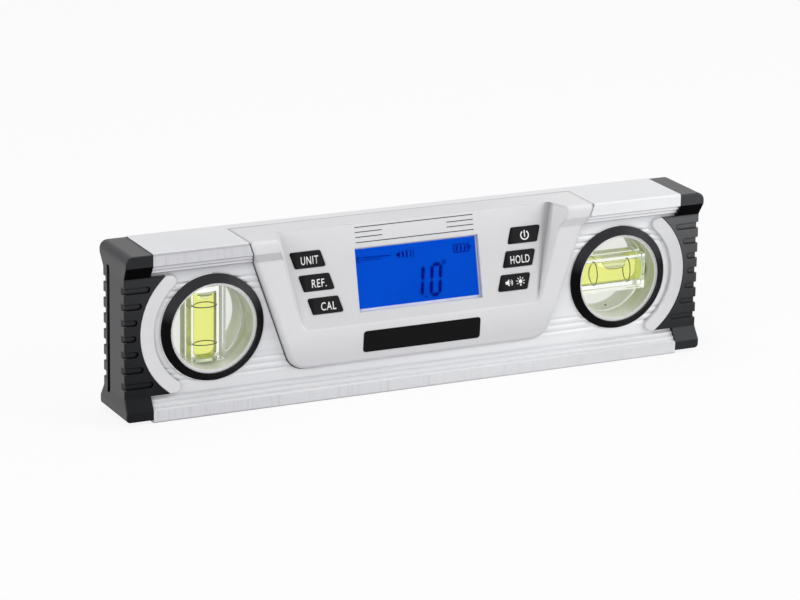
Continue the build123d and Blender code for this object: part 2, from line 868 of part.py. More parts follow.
# Crescent trims on the front and the back, outside each vial
# Each ends at the rails, and at the latest where its inner arc would close over the vial
trim_reach = min(level_height / 2 - rail_inner - fit_gap, trim_inner_radius - vial_rise - trim_tip)
for side_name, side in (("left", -1), ("right", 1)):
    for face_name, front in (("front", 1), ("rear", -1)):
        with BuildPart() as trim:
            with BuildSketch(Plane.XZ.offset(front * web_front)):
                with Locations((side * vial_x, vial_height)):
                    Circle(trim_outer_radius)
                    Circle(trim_inner_radius, mode=Mode.SUBTRACT)
                with Locations((side * (vial_x + trim_outer_radius / 2), level_height / 2)):
                    Rectangle(trim_outer_radius, 2 * trim_reach, mode=Mode.INTERSECT)
            extrude(amount=front * trim_thickness)
            inner_corners = trim.edges().filter_by(Axis.Y).sort_by(lambda e: abs(e.center().X))[:2]
            fillet(inner_corners, min(trim_corner, trim_corner_share * trim_width))
            outer_face = trim.faces().sort_by(Axis.Y)[0 if front > 0 else -1]
            fillet(outer_face.edges(), trim_edge)
            with BuildSketch(Plane.XZ.offset(front * web_front)):
                with Locations(*[place for place in peg_places if place[0] * side > 0]):
                    Circle(peg_radius)
            extrude(amount=-front * peg_length)
        save(trim, f"{side_name}_{face_name}_trim")

# Rubber end caps: bumpers over the rail ends, slotted waist, wings on the webs and a plug in the channel
waist_half = web_front + cap_skin
cap_seat_radius = trim_outer_radius + fit_gap
wing_half = level_height / 2 - rail_inner - fit_gap
slot_arc = cap_seat_radius + slot_arc_distance


def between_bumpers(corners):
    """The corners of an outline that lie between the bumpers' outer bands."""
    lowest = rail_face - fit_gap
    return [corner for corner in corners if lowest < corner.Y < level_height - lowest]


# Grip slots run from the crescent's side round the corner, and run out on the end face
waist_end = overall_length / 2 - cap_waist_inset
slot_cutters = []
for slot_place in range(slot_count):
    slot_middle = level_height / 2 + (slot_place - (slot_count - 1) / 2) * slot_pitch
    slot_end = vial_x + sqrt(slot_arc**2 - (slot_middle - vial_height) ** 2)
    for front in (1, -1):
        floor_corner = (slot_depth - waist_end, -front * (waist_half - slot_depth))
        with BuildPart() as cutter:
            with BuildSketch(Plane.XY.offset(slot_middle - slot_height / 2)):
                with BuildLine():
                    Polyline(
                        (-slot_end, -front * (waist_half + slot_depth)),
                        (-slot_end, -front * (waist_half - slot_depth)),
                        floor_corner,
                        (-waist_end, -front * (waist_half - slot_wrap)),
                        (-waist_end - slot_depth, -front * (waist_half - slot_wrap)),
                        (-waist_end - slot_depth, -front * (waist_half + slot_depth)),
                        close=True,
                    )
                slot_floor = make_face()
                fillet(slot_floor.vertices().sort_by_distance((*floor_corner, 0))[0], cap_edge)
            extrude(amount=slot_height)
            fillet(cutter.edges().filter_by(Axis.Y).group_by(Axis.X)[-1], slot_height / 2 - film_gap)
        slot_cutters.append(cutter.part)

with BuildPart() as left_end_cap:
    with BuildSketch(Plane.YZ.offset(-overall_length / 2)):
        with BuildLine():
            Polyline(
                (rail_front, cap_bottom_inset),
                (rail_front, rail_face),
                (waist_half, rail_inner),
                (waist_half, level_height - rail_inner),
                (rail_front, level_height - rail_face),
                (rail_front, level_height - cap_top_inset),
                (-rail_front, level_height - cap_top_inset),
                (-rail_front, level_height - rail_face),
                (-waist_half, level_height - rail_inner),
                (-waist_half, rail_inner),
                (-rail_front, rail_face),
                (-rail_front, cap_bottom_inset),
                close=True,
            )
        section = make_face()
        fillet(between_bumpers(section.vertices()), cap_hip_round)
    extrude(amount=cap_length)
    with BuildSketch(Plane.XZ.offset(-rail_front)):
        with BuildLine():
            Polyline(
                (-profile_end, 0),
                (-overall_length / 2, 0),
                (-overall_length / 2, rail_face),
                (-waist_end, rail_inner),
                (-waist_end, level_height - rail_inner),
                (-overall_length / 2, level_height - rail_face),
                (-overall_length / 2, level_height),
                (-profile_end, level_height),
                close=True,
            )
        end_view = make_face()
        fillet(between_bumpers(end_view.vertices()), cap_end_blend)
    extrude(amount=level_depth, mode=Mode.INTERSECT)
    end_edges = left_end_cap.edges().filter_by(lambda e: e.center().X < cap_waist_inset - waist_end)
    across = end_edges.filter_by(Axis.Y)
    fillet(across.group_by(Axis.Z)[0], cap_foot_corner)
    fillet(across.group_by(Axis.Z)[-1], cap_corner)
    rim_edges = left_end_cap.edges().filter_by(Axis.X).filter_by(lambda e: abs(e.center().Y) > waist_half)
    fillet(rim_edges.group_by(Axis.Z)[0] + rim_edges.group_by(Axis.Z)[-1], cap_edge)
    with BuildSketch(Plane.YZ.offset(-profile_end)):
        with Locations((0, level_height / 2)):
            plug_edge = Rectangle(
                2 * (channel_half - fit_gap),
                level_height - 2 * (base_wall + fit_gap),
            )
            offset(plug_edge, amount=-cap_plug_wall, mode=Mode.SUBTRACT)
    extrude(amount=cap_plug_depth)
    for front in (1, -1):
        with BuildSketch(Plane.XZ.offset(front * web_front)):
            with BuildLine():
                Polyline(
                    (-profile_end - cap_skin, level_height / 2 - wing_half),
                    (-vial_x, level_height / 2 - wing_half),
                    (-vial_x, level_height / 2 + wing_half),
                    (-profile_end - cap_skin, level_height / 2 + wing_half),
                    close=True,
                )
            make_face()
        extrude(amount=front * cap_skin)
        with BuildSketch(Plane.XZ.offset(front * web_front)):
            with Locations((-vial_x, vial_height)):
                Circle(cap_seat_radius)
        extrude(amount=front * web_recess, mode=Mode.SUBTRACT)
    add(slot_cutters, mode=Mode.SUBTRACT)
    with BuildSketch(Plane.YZ.offset(-overall_length / 2)):
        with Locations((cap_groove_offset, level_height / 2)):
            Rectangle(cap_groove_width, level_height - 2 * cap_groove_margin)
    extrude(amount=cap_waist_inset + cap_groove_depth, mode=Mode.SUBTRACT)
save(left_end_cap, "left_end_cap")

# The other cap is the same moulding turned round
with BuildPart() as right_end_cap:
    add(left_end_cap.part, rotation=(0, 0, 180))
save(right_end_cap, "right_end_cap")
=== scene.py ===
"""Looks of a compact digital spirit level: finishes, vials, display, legends, studio and camera.

Metres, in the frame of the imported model: +Z up, +X to the right as seen from the front, front towards -Y.
Sizes are written in millimetres and turned into metres where they are used.
"""

import json
from math import acos, asin, cos, pi, radians, sin

import bmesh
import bpy
from mathutils import Matrix, Vector


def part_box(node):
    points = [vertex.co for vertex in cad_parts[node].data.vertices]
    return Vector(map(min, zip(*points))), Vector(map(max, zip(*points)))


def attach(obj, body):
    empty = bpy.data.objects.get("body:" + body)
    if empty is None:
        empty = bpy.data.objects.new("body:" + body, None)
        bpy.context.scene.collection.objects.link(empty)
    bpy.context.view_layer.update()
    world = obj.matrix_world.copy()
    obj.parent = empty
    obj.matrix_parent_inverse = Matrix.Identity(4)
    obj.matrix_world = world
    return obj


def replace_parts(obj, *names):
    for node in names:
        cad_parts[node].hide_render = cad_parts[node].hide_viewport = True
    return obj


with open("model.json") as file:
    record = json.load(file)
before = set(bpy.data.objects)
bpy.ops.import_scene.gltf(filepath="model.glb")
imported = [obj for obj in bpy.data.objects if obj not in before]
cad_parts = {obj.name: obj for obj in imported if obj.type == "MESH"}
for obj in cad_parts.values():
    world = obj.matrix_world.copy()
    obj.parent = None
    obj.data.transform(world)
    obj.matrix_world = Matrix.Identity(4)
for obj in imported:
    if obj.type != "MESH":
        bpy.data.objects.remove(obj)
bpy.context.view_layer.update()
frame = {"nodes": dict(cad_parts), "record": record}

MM = 0.001
LEVEL_BODY = "level_body"

# Tilted panel of the display module
crest_height = 28.0
crest_forward = 12.9
panel_tilt = radians(13.2)
button_proud = 0.6
button_first_row = 9.86
button_row_pitch = 9.2
button_first_x = 41.1
button_column_lean = 0.33

# Display behind the panel
display_width = 51.6
display_height = 23.1
display_centre = 17.9
lens_margin = 2.4
lens_front = 1.0
lens_back = 1.86
lens_edge = 0.12
segment_depth = 1.93
ink_thickness = 0.05

# Vials
bar_width = 14.5
bar_depth = 12.0
bar_length = 30.0
bar_edge = 0.35
vial_web_thickness = 2.0
web_radius = 16.65
plug_pocket_radius = 4.85
plug_pocket_depth = 1.0
spirit_radius = 4.6
spirit_low = 13.9
plumb_spirit_high = 11.8
level_spirit_high = 13.9
plumb_foot_round = 2.6
spirit_end_round = 0.5
bubble_radius = 4.5
level_bubble_half = 5.4
level_bubble_offset = 1.8
level_bubble_depth = 2.6
level_bubble_sag = 0.3
bubble_tip_drop = 0.2
bubble_least = 0.0004
bubble_fullness = 2.6
rim_radius = 0.15
rim_inset = 0.13
rim_short = 0.35
plumb_bubble_radius = 3.3
plumb_bubble_height = 2.8
plumb_bubble_rim = 0.8
plumb_bubble_drop = 0.15
vial_web_half = 1.05
dot_across = 14.2
dot_radius = 0.4
dot_height = 0.35

# Rails and the module's outline over them
rail_front = 14.0
rail_top = 67.0
base_rail = 5.2
vial_x = 88.2
vial_height = 34.2
bezel_radius = 21.2
module_half = 74.4
module_slant = 0.35412
module_rear = 8.0
foot_bottom = 12.8
panel_shade = 0.45
panel_flare = 0.19
panel_foot = 50.71
web_front = 9.5
slot_corner = 123.6
slot_top = 56.0
web_seam_top = 57.0


# Node trees

# Most values of a noise lie in this range
MIDDLE = (0.3, 0.7)


def operator(operation):
    """A method that combines a field with a number or another field by a math node."""
    return lambda field, *others: field.finish.math(operation, field, *others)


class Field:
    """A node's output that ordinary operators combine with other fields and with numbers."""

    def __init__(self, finish, socket):
        self.finish = finish
        self.socket = socket

    def span(self, low, high, to_low=0.0, to_high=1.0):
        """Map the field from one range to another, clamped."""
        return self.finish.node("ShaderNodeMapRange", value=self, from_min=low, from_max=high,
                                to_min=to_low, to_max=to_high)

    __add__ = operator("ADD")
    __sub__ = operator("SUBTRACT")
    __mul__ = operator("MULTIPLY")
    __truediv__ = operator("DIVIDE")
    __pow__ = operator("POWER")
    __abs__ = operator("ABSOLUTE")
    __gt__ = operator("GREATER_THAN")
    __lt__ = operator("LESS_THAN")
    __or__ = operator("MAXIMUM")

    def __rsub__(self, number):
        return self.finish.math("SUBTRACT", number, self)


class Finish:
    """A material under construction, with its principled shader and the nodes that feed it."""

    def __init__(self, name, **inputs):
        self.material = bpy.data.materials.new(name)
        self.material.use_nodes = True
        self.tree = self.material.node_tree
        self.nodes = self.tree.nodes
        self.shader = self.nodes["Principled BSDF"]
        self.output = self.nodes["Material Output"]
        self.coordinates = self.nodes.new("ShaderNodeTexCoord").outputs
        for key, value in inputs.items():
            self.feed(key.replace("_", " ").title().replace("Ior", "IOR"), value)

    def plug(self, socket, value):
        """Set a socket to a constant, or link a field to it."""
        if isinstance(value, Field):
            self.tree.links.new(value.socket, socket)
        elif socket.type == "RGBA" and len(value) == 3:
            socket.default_value = (*value, 1.0)
        else:
            socket.default_value = value

    def feed(self, name, value):
        """Plug a constant or a field into the shader."""
        self.plug(self.shader.inputs[name], value)

    def node(self, kind, **inputs):
        """Add a node, plug its inputs and return its first output."""
        made = self.nodes.new(kind)
        for key, value in inputs.items():
            self.plug(made.inputs[key.replace("_", " ").title()], value)
        return Field(self, made.outputs[0])

    def math(self, operation, *values):
        made = self.nodes.new("ShaderNodeMath")
        made.operation = operation
        for socket, value in zip(made.inputs, values):
            self.plug(socket, value)
        return Field(self, made.outputs[0])

    def noise(self, scale, detail=2.0, roughness=0.5, stretch=(1.0, 1.0, 1.0)):
        """Noise in the object's own space, with scale in features per metre."""
        place = self.node("ShaderNodeMapping", vector=Field(self, self.coordinates["Object"]), scale=stretch)
        return self.node("ShaderNodeTexNoise", vector=place, scale=scale, detail=detail, roughness=roughness)

    def mix(self, factor, first, second):
        """Blend two colours."""
        made = self.nodes.new("ShaderNodeMix")
        made.data_type = "RGBA"
        for index, value in ((0, factor), (6, first), (7, second)):
            self.plug(made.inputs[index], value)
        return Field(self, made.outputs[2])

    def uneven(self, noise, dark, pale):
        """Blend two colours by a noise."""
        return self.mix(noise.span(*MIDDLE), dark, pale)

    def part(self, kind, letter):
        """One component of a texture coordinate."""
        made = self.nodes.new("ShaderNodeSeparateXYZ")
        self.tree.links.new(self.coordinates[kind], made.inputs[0])
        return Field(self, made.outputs[letter])

    def axis(self, letter):
        """One coordinate in the object's own space, in mm."""
        return self.part("Object", letter) * (1 / MM)

    def facing(self, letter):
        """How far the surface faces along one axis of the object's own space."""
        return self.part("Normal", letter)

    def crease(self, reach, low, high):
        """One on open surface and zero in corners that lie within reach, in mm, of other surface."""
        made = self.nodes.new("ShaderNodeAmbientOcclusion")
        made.samples = 8
        made.inputs["Distance"].default_value = reach * MM
        return Field(self, made.outputs["AO"]).span(low, high)

    def relief(self, height, strength, depth, edge_radius=None):
        """Bump the surface by a height, over edges rounded by a small radius that may be a field, in mm."""
        made = self.nodes.new("ShaderNodeBump")
        made.inputs["Strength"].default_value = strength
        made.inputs["Distance"].default_value = depth * MM
        self.plug(made.inputs["Height"], height)
        if edge_radius is not None:
            soft = self.nodes.new("ShaderNodeBevel")
            soft.samples = 6
            self.plug(soft.inputs["Radius"], edge_radius * MM)
            self.tree.links.new(soft.outputs[0], made.inputs["Normal"])
        self.feed("Normal", Field(self, made.outputs[0]))


def blend_surface(tree, factor, first, second, output):
    """Send a blend of two shaders to a tree's output."""
    blend = tree.nodes.new("ShaderNodeMixShader")
    for socket, source in zip(blend.inputs, (factor, first, second)):
        tree.links.new(source, socket)
    tree.links.new(blend.outputs[0], output.inputs["Surface"])


# Finishes


def aluminium():
    """Pale anodised extrusion: lines along it, milled marks across the rails, painted light and shade, and a
    painted shadow in the gap by the module.
    """
    finish = Finish("aluminium", metallic=0.15)
    mix = finish.mix
    x, y, z = (finish.axis(letter) for letter in "XYZ")
    up = finish.facing("Z")
    deep = abs(y)
    # Grey of the painted shade, and near black of the painted shadow in the module's gap
    dark, gap_shadow = (0.30, 0.30, 0.33), (0.035, 0.035, 0.04)
    # Grain and drawn lines run along it, and the milled marks across its rails fade to the right
    grain = finish.noise(1, 2, 0.5, (20, 2600, 2600))
    ribs = finish.noise(1, 1, 0.4, (1.5, 1, 420))
    draws = finish.noise(1, 1, 0.4, (4, 1, 260))
    cloud = finish.noise(45, 2)
    marks = finish.noise(1, 1, 0.5, (3600, 30, 45))
    groups = finish.noise(1, 1, 0.5, (75, 1, 12))
    strokes = finish.noise(1, 2, 0.6, (620, 12, 20))
    fine = marks.span(0.54, 0.70) * groups.span(0.42, 0.60, 0.05, 0.45)
    lines = fine | strokes.span(0.50, 0.72, 0.22, 0.62)
    right_end = 0.35
    fade = x.span(-100, 110, 1, right_end)
    scored = lines * (deep > rail_front - 0.05) * fade
    plain = finish.uneven(cloud, (0.685, 0.688, 0.71), (0.71, 0.713, 0.73))
    drawn = mix(draws.span(0.52, 0.66, 0, 0.55), plain, (0.57, 0.575, 0.60))
    streaked = mix(grain.span(0.35, 0.75, 0, 0.30), drawn, (0.64, 0.645, 0.67))
    milled = mix(scored, streaked, (0.45, 0.45, 0.49))
    # Painted shade greys the rail's face towards its upper edge, most on the left, and a painted contact
    # shadow makes a dark line at its foot
    on_face = deep > rail_front - 0.36
    grey = z.span(rail_top - 6, rail_top - 5, 0, 0.17)
    upper = (grey | z.span(rail_top - 1.4, rail_top - 0.3)) * fade.span(right_end, 1, 0.15, 1)
    lower = z.span(0.45, 0.35, 0, 0.9)
    edge_shaded = mix(on_face * (upper | lower), milled, (0.30, 0.30, 0.325))
    # Painted light makes it paler towards the right, least on the lower rail's face
    on_foot = on_face * (z < base_rail)
    upright = up.span(0.6, 0.9, 1, 0)
    aside = x.span(-60, 105, 0.04, 0.80) * upright * on_foot.span(0, 1, 1, 0.3)
    right_lit = mix(aside, edge_shaded, (0.86, 0.865, 0.88))
    # Painted light brightens steps, grooves and tops where they face up, more to the right; painted shade
    # darkens them where they face down, and a painted shadow falls on the web under the upper rail
    below_top = z < rail_top - base_rail
    tread = up.span(0.15, 0.5) * below_top
    on_web = below_top * (deep < web_front + 0.05)
    facing_down = up.span(-0.12, -0.75, 0, 0.8) * fade.span(right_end, 1, 0.7, 1)
    under = facing_down * on_web.span(0, 1, 1, 0.35)
    rail_shadow = z.span(54.2, 58.2) * fade.span(right_end, 1, 0.4, 0.55)
    step_shaded = mix(under | on_web * rail_shadow, right_lit, dark)
    top_lit = up.span(0.15, 0.7) * fade.span(1, right_end, 0.08, 0.45)
    lit = mix(top_lit | tread * 0.6, step_shaded, (0.84, 0.845, 0.86))
    # Painted shade darkens corners, but less so on steps, by the module's foot and to the right
    corner = mix(fade, (0.66, 0.66, 0.69), dark)
    by_foot = (z < foot_bottom + 0.5) * x.span(-48, -36, 0, 0.75)
    open_surface = finish.crease(1.3, 0.40, 0.92) | tread * 0.7 | on_web * by_foot
    shaded = mix(open_surface, corner, lit)
    # A painted highlight runs round the left of each bezel
    across, rise = abs(x) - vial_x, z - vial_height
    near_ring = on_web * (across * across + rise * rise < (bezel_radius + 0.4) ** 2)
    ring_highlight = mix(near_ring * (across * x < 0), shaded, (0.92, 0.92, 0.94))
    # A painted shadow darkens the gap beside the module over the rail and behind its roof, fainter on top and
    # to the right
    beside = abs(x) - module_half + (rail_top - z) * module_slant
    on_top = z > rail_top - 0.02
    gap = (y < module_rear) * (z > web_seam_top) * (beside < 0.42 - on_top * 0.24)
    strip = on_top * (y < module_rear + 0.22) * (beside < 0.1)
    plainer = on_top * 0.45 | x.span(0, 10, 0, 0.45)
    finish.feed("Base Color", mix((gap | strip) * (1 - plainer), ring_highlight, gap_shadow))
    finish.feed("Roughness", grain.span(*MIDDLE, 0.34, 0.46) + up.span(0.6, 0.95, 0, 0.22))
    finish.relief(grain * 0.15 + ribs - scored, 0.5, 0.04, 0.1)
    return finish.material


def silver_plastic():
    """Silver-white moulding with a fine grain and a trace of flake, its long edges softly rounded."""
    finish = Finish("silver_plastic", metallic=0.05)
    mix = finish.mix
    x, y, z = (finish.axis(letter) for letter in "XYZ")
    up = finish.facing("Z")
    grain = finish.noise(2600, 2)
    flake = finish.noise(5200, 0)
    plain = finish.uneven(finish.noise(30, 2), (0.665, 0.665, 0.677), (0.690, 0.690, 0.700))
    flaked = mix(flake.span(0.62, 0.74, 0, 0.35), plain, (0.80, 0.80, 0.82))
    # Painted shade makes the panel greyer than the shell around it, less towards its top
    rise = z - crest_height
    ahead = rise * sin(panel_tilt) + (y + crest_forward) * -cos(panel_tilt)
    beyond = abs(x) - rise * panel_flare
    between = (rise > 1) * (beyond < 52.5)
    on_panel = between * (abs(ahead) < 0.05)
    panel_shaded = mix(on_panel * rise.span(24, 38, panel_shade, 0.1), flaked, (0.52, 0.52, 0.535))
    # A soft painted shade darkens the foot of the panel's walls; it widens upwards and is stronger on the
    # right
    inward = rise * 0.026 + panel_foot - beyond
    on_floor = inward / rise.span(2, 39, 1.2, 4)
    on_wall = inward / rise.span(2, 39, -0.9, -1.6)
    near = on_floor.span(0, 1, 1, 0) * on_wall.span(0, 1, 1, 0)
    in_recess = between * (ahead > -0.05)
    sided = in_recess * x.span(-10, 10, 0.12, 0.85)
    crease_shaded = mix(near**1.6 * sided * rise.span(1.5, 6), panel_shaded, (0.17, 0.17, 0.185))
    # Painted shade darkens what faces down, most on the left
    under = up.span(-0.12, -0.48, 0, 0.55) * x.span(-48, -36, 1, 0.45)
    below = mix(under, crease_shaded, (0.40, 0.40, 0.42))
    # Painted shade greys the band below the panel towards its foot, and the right crescent greys towards the
    # cap
    on_module = abs(x) < 66
    band = on_module * z.span(26, 17, 0, 0.45)
    crescent = x.span(106, 118, 0, 0.35)
    greyed = mix(band | crescent, below, (0.50, 0.50, 0.53))
    # Painted light makes the roof paler to the right, and painted shade greys corners except along the
    # module's foot
    roof_lit = mix(up.span(0.3, 0.8) * x.span(30, 70, 0, 0.4), greyed, (0.84, 0.84, 0.85))
    by_foot = on_module * z.span(16, 15) * x.span(-48, -36, 0, 0.75)
    open_surface = finish.crease(1.2, 0.15, 0.65) | by_foot
    finish.feed("Base Color", mix(open_surface, (0.46, 0.46, 0.49), roof_lit))
    finish.feed("Roughness", grain.span(*MIDDLE, 0.36, 0.46) + up.span(0.6, 0.95, 0, 0.22))
    # The panel's walls, its crest and the roof have broad soft edges, openings have crisp ones
    walls = beyond.span(50.6, 51.2) * beyond.span(72, 71)
    crest = z.span(26, 26.6) * z.span(31.5, 30.5)
    roof = z.span(63, 64)
    broad = (crest | roof) * 0.45 | walls
    finish.relief(grain, 0.10, 0.03, broad.span(0, 1, 0.25, 2.2))
    return finish.material


def rubber():
    """Satin black rubber with a fine stipple, and painted shade in its corners and where it faces down."""
    finish = Finish("rubber", specular_ior_level=0.32)
    x, z = finish.axis("X"), finish.axis("Z")
    up = finish.facing("Z")
    stipple = finish.noise(1900, 3, 0.6)
    right = x.span(-10, 10)
    # Painted shade darkens corners and what faces down, less on the right
    open_surface = finish.crease(1.2, 0.50, 0.94) | right * 0.45
    unshaded = open_surface * up.span(-0.42, -0.08)
    plain = finish.uneven(finish.noise(90, 3), (0.0035, 0.0038, 0.005), (0.0065, 0.0068, 0.0085))
    # Painted light brightens the front towards the top, most of it on the right, and painted highlights lie
    # on each ledge and slot sill
    front = finish.facing("Y").span(-0.5, -0.9)
    front_light = front * z.span(10, 56) ** 1.5 * right.span(0, 1, 0.014, 0.10)
    ledge_highlights = up.span(0.55, 0.9, 0, 0.10) * right * z.span(34, 26)
    sill_highlights = up.span(0.55, 0.9, 0, 0.14) * (abs(x) > slot_corner) * (z < slot_top)
    lightening = front_light * z.span(56, 58, 1, 0.3) + (ledge_highlights | sill_highlights)
    lightened = finish.mix(lightening, plain, (0.96, 0.97, 1))
    finish.feed("Base Color", finish.mix(unshaded, (0.0003, 0.0003, 0.0004), lightened))
    # Painted shade dims the reflection in corners and where it faces down, most on the front of the left foot
    foot = z.span(62, 8, 0.22, 0.6) * (1 - right)
    bright = unshaded * (1 - front * foot)
    finish.feed("Specular Tint", finish.mix(bright, (0.03, 0.03, 0.03), (0.93, 0.95, 1)))
    finish.feed("Roughness", stipple.span(*MIDDLE, 0.27, 0.38) | unshaded.span(0, 1, 0.95, 0.2))
    finish.relief(stipple, 0.14, 0.03, 0.25)
    return finish.material


def black_plastic(name, tone=0.001, roughness=(0.22, 0.30), shine=0.05, edge=0.15, lightening=0.034, side=0):
    """Black moulding with a soft satin, lighter where it faces up, and with painted shade along its left
    side.
    """
    finish = Finish(name, specular_ior_level=shine)
    grain = finish.noise(2200, 2)
    lighter = (tone * 1.3, tone * 1.3, tone * 1.4)
    plain = finish.uneven(finish.noise(120, 2), (tone, tone, tone * 1.1), lighter)
    up_lightened = finish.mix(finish.facing("Z").span(0.10, 0.27), plain, (lightening, lightening, lightening * 1.12))
    # Painted shade darkens the left side
    if side:
        across = finish.part("Generated", "X")
        up_lightened = finish.mix(across.span(side, side + 0.05), (0.0008, 0.0008, 0.001), up_lightened)
    finish.feed("Base Color", up_lightened)
    finish.feed("Roughness", grain.span(*MIDDLE, *roughness))
    finish.relief(grain, 0.08, 0.02, edge)
    return finish.material


def white_liner():
    """White sleeve: plain white at its ends, with a painted green reflection of the spirit and painted shade
    along its wall.
    """
    finish = Finish("white_liner", roughness=0.35)
    mix = finish.mix
    y, up = finish.axis("Y"), finish.facing("Z")
    cloud = finish.noise(140, 2)
    # Painted reflections of the spirit streak the wall
    reflection_streaks = finish.noise(1, 3, 0.6, (150, 420, 150)).span(0.40, 0.64)
    pale = finish.uneven(cloud, (0.58, 0.60, 0.53), (0.66, 0.68, 0.60))
    green = mix(reflection_streaks, (0.50, 0.57, 0.30), (0.73, 0.77, 0.60))
    reflected_green = mix(abs(y).span(10, 4), pale, green)
    # Painted light makes what faces up paler
    floor_lit = mix(up.span(0.35, 0.95, 0, 0.8), reflected_green, (0.93, 0.95, 0.86))
    # Painted light makes it paler behind the clear web, most of all at its foot, and painted shade darkens it
    # on the right in front of it
    rear = y.span(0, 1.5) * up.span(-0.7, 0.5, 0, 0.95)
    behind = mix(rear, floor_lit, (0.985, 0.99, 0.95))
    side = y.span(0, -1.5) * finish.facing("X").span(-0.35, -0.95, 0, 0.8)
    olive = mix(reflection_streaks, (0.36, 0.41, 0.20), (0.47, 0.49, 0.38))
    wall = abs(y).span(10.8, 10.4)
    finish.feed("Base Color", mix(wall, (0.82, 0.82, 0.82), mix(side, behind, olive)))
    finish.relief(cloud, 0.05, 0.05, 0.15)
    return finish.material


def lamps_pass(finish):
    """Let lamp light through a clear piece, so that what lies behind it is lit."""
    path = finish.nodes.new("ShaderNodeLightPath")
    clear = finish.nodes.new("ShaderNodeBsdfTransparent")
    clear.inputs["Color"].default_value = finish.shader.inputs["Base Color"].default_value
    blend_surface(finish.tree, path.outputs["Is Shadow Ray"], finish.shader.outputs[0], clear.outputs[0],
                  finish.output)
    return finish.material


def clear_acrylic():
    """Clear acrylic: polished to the front and back, matt on its sawn sides, which glow with painted light.
    """
    finish = Finish("clear_acrylic", base_color=(0.97, 0.985, 0.955), ior=1.49, transmission_weight=1,
                    emission_strength=0.4)
    mix = finish.mix
    x = finish.axis("X")
    sawn = abs(finish.facing("Y")).span(0.9, 0.5)
    sideways = abs(finish.facing("X")).span(0.5, 0.9)
    on_web = abs(finish.axis("Y")) < vial_web_half
    polished = mix(on_web, (0.95, 0.97, 0.93), (0.80, 0.82, 0.76))
    # Painted shade greys the plumb bar's right side, and the rim of its web
    outer = abs(x).span(84, 83) | abs(x).span(100, 101)
    grey = sideways * outer * (x < 0)
    sides = mix(grey, (0.62, 0.65, 0.59), (0.20, 0.21, 0.22))
    finish.feed("Base Color", mix(sawn, polished, sides))
    finish.feed("Transmission Weight", grey.span(0, 1, 1, 0.2))
    finish.feed("Roughness", sawn.span(0, 1, 0, 0.3))
    # Painted light: the sawn sides glow faintly, and the level bar's end glows brightly
    glow = mix(sideways * x.span(100, 101), (0.14, 0.15, 0.13), (0.70, 0.73, 0.72))
    finish.feed("Emission Color", mix(sawn, (0, 0, 0), glow))
    finish.relief(finish.noise(160, 1), 0.02, 0.05)
    return lamps_pass(finish)


def display_lens():
    """Clear window with a coating that hardly reflects."""
    finish = Finish("display_lens", base_color=(0.99, 0.99, 1), roughness=0.04, ior=1.08,
                    transmission_weight=1)
    finish.relief(finish.noise(300, 1), 0.01, 0.02)
    return lamps_pass(finish)


def spirit():
    """Fluorescent yellow-green liquid, seen inside acrylic."""
    finish = Finish("spirit", base_color=(0.80, 0.82, 0.24), roughness=0, ior=0.913,
                    transmission_weight=1, emission_strength=0.04)
    drift = finish.noise(90, 1)
    finish.feed("Emission Color", finish.mix(drift, (0.78, 0.84, 0.10), (0.86, 0.90, 0.16)))
    return lamps_pass(finish)


def air():
    """Air inside the spirit, lit by a painted glow, with a painted highlight streak along each bubble above
    its skin.
    """
    finish = Finish("air", base_color=(0.45, 0.46, 0.60), roughness=0.12, ior=0.88, transmission_weight=0.25,
                    emission_strength=0.5)
    z = finish.axis("Z")
    plain = finish.mix(finish.noise(120, 1), (0.38, 0.39, 0.62), (0.44, 0.45, 0.70))
    level_highlight = z.span(37.1, 37.5) * z.span(38.3, 37.9)
    plumb_highlight = z.span(43.8, 44.2) * z.span(45.2, 44.8)
    finish.feed("Emission Color", finish.mix(level_highlight | plumb_highlight, plain, (0.95, 0.96, 1)))
    finish.relief(finish.noise(200, 1), 0.01, 0.02)
    return lamps_pass(finish)


def lcd_glass():
    """Backlit blue liquid crystal with a slightly uneven glow and a fine grain."""
    finish = Finish("lcd_glass", base_color=(0, 0.003, 0.02), roughness=0.5, specular_ior_level=0,
                    emission_strength=0.95)
    fine = finish.noise(4200, 0)
    glow = finish.uneven(finish.noise(40, 1), (0, 0.062, 0.57), (0, 0.070, 0.62))
    finish.feed("Emission Color", finish.mix(fine.span(0.55, 0.75, 0, 0.15), glow, (0, 0.052, 0.50)))
    return finish.material


def ink(name, dark, pale):
    """Printed marks with slightly uneven cover."""
    finish = Finish(name, roughness=0.5, specular_ior_level=0.2)
    finish.feed("Base Color", finish.uneven(finish.noise(1800, 2), dark, pale))
    return finish.material


def seam_shadow():
    """Shadow round the module's foot: dark down its left side, pale along the foot and the right."""
    finish = Finish("seam_shadow", roughness=0.6)
    dark = finish.uneven(finish.noise(900, 2), (0.035, 0.035, 0.04), (0.06, 0.06, 0.065))
    finish.feed("Base Color", finish.mix(finish.axis("X").span(-50, -38), dark, (0.60, 0.60, 0.62)))
    return finish.material


def lit_segment():
    """Dark segments of the backlit display."""
    finish = Finish("lit_segment", base_color=(0, 0, 0.004), roughness=0.5, specular_ior_level=0,
                    emission_strength=1)
    cover = finish.noise(900, 1)
    finish.feed("Emission Color", finish.uneven(cover, (0, 0.006, 0.17), (0, 0.009, 0.22)))
    return finish.material


def plain_moulding(name, dark, pale, roughness=0.45, metallic=0):
    """An inner moulding or plated piece with slightly uneven colour."""
    finish = Finish(name, metallic=metallic)
    cloud = finish.noise(260, 3)
    finish.feed("Base Color", finish.uneven(cloud, dark, pale))
    finish.feed("Roughness", cloud.span(*MIDDLE, roughness - 0.06, roughness + 0.06))
    finish.relief(cloud, 0.05, 0.04, 0.1)
    return finish.material


def circuit_board():
    """Green solder mask with paler copper runs under it."""
    finish = Finish("circuit_board", roughness=0.35)
    runs = finish.noise(1, 1, 0.5, (420, 90, 420))
    finish.feed("Base Color", finish.mix(runs.span(0.5, 0.56), (0.012, 0.12, 0.04), (0.03, 0.22, 0.08)))
    finish.relief(runs, 0.1, 0.03)
    return finish.material


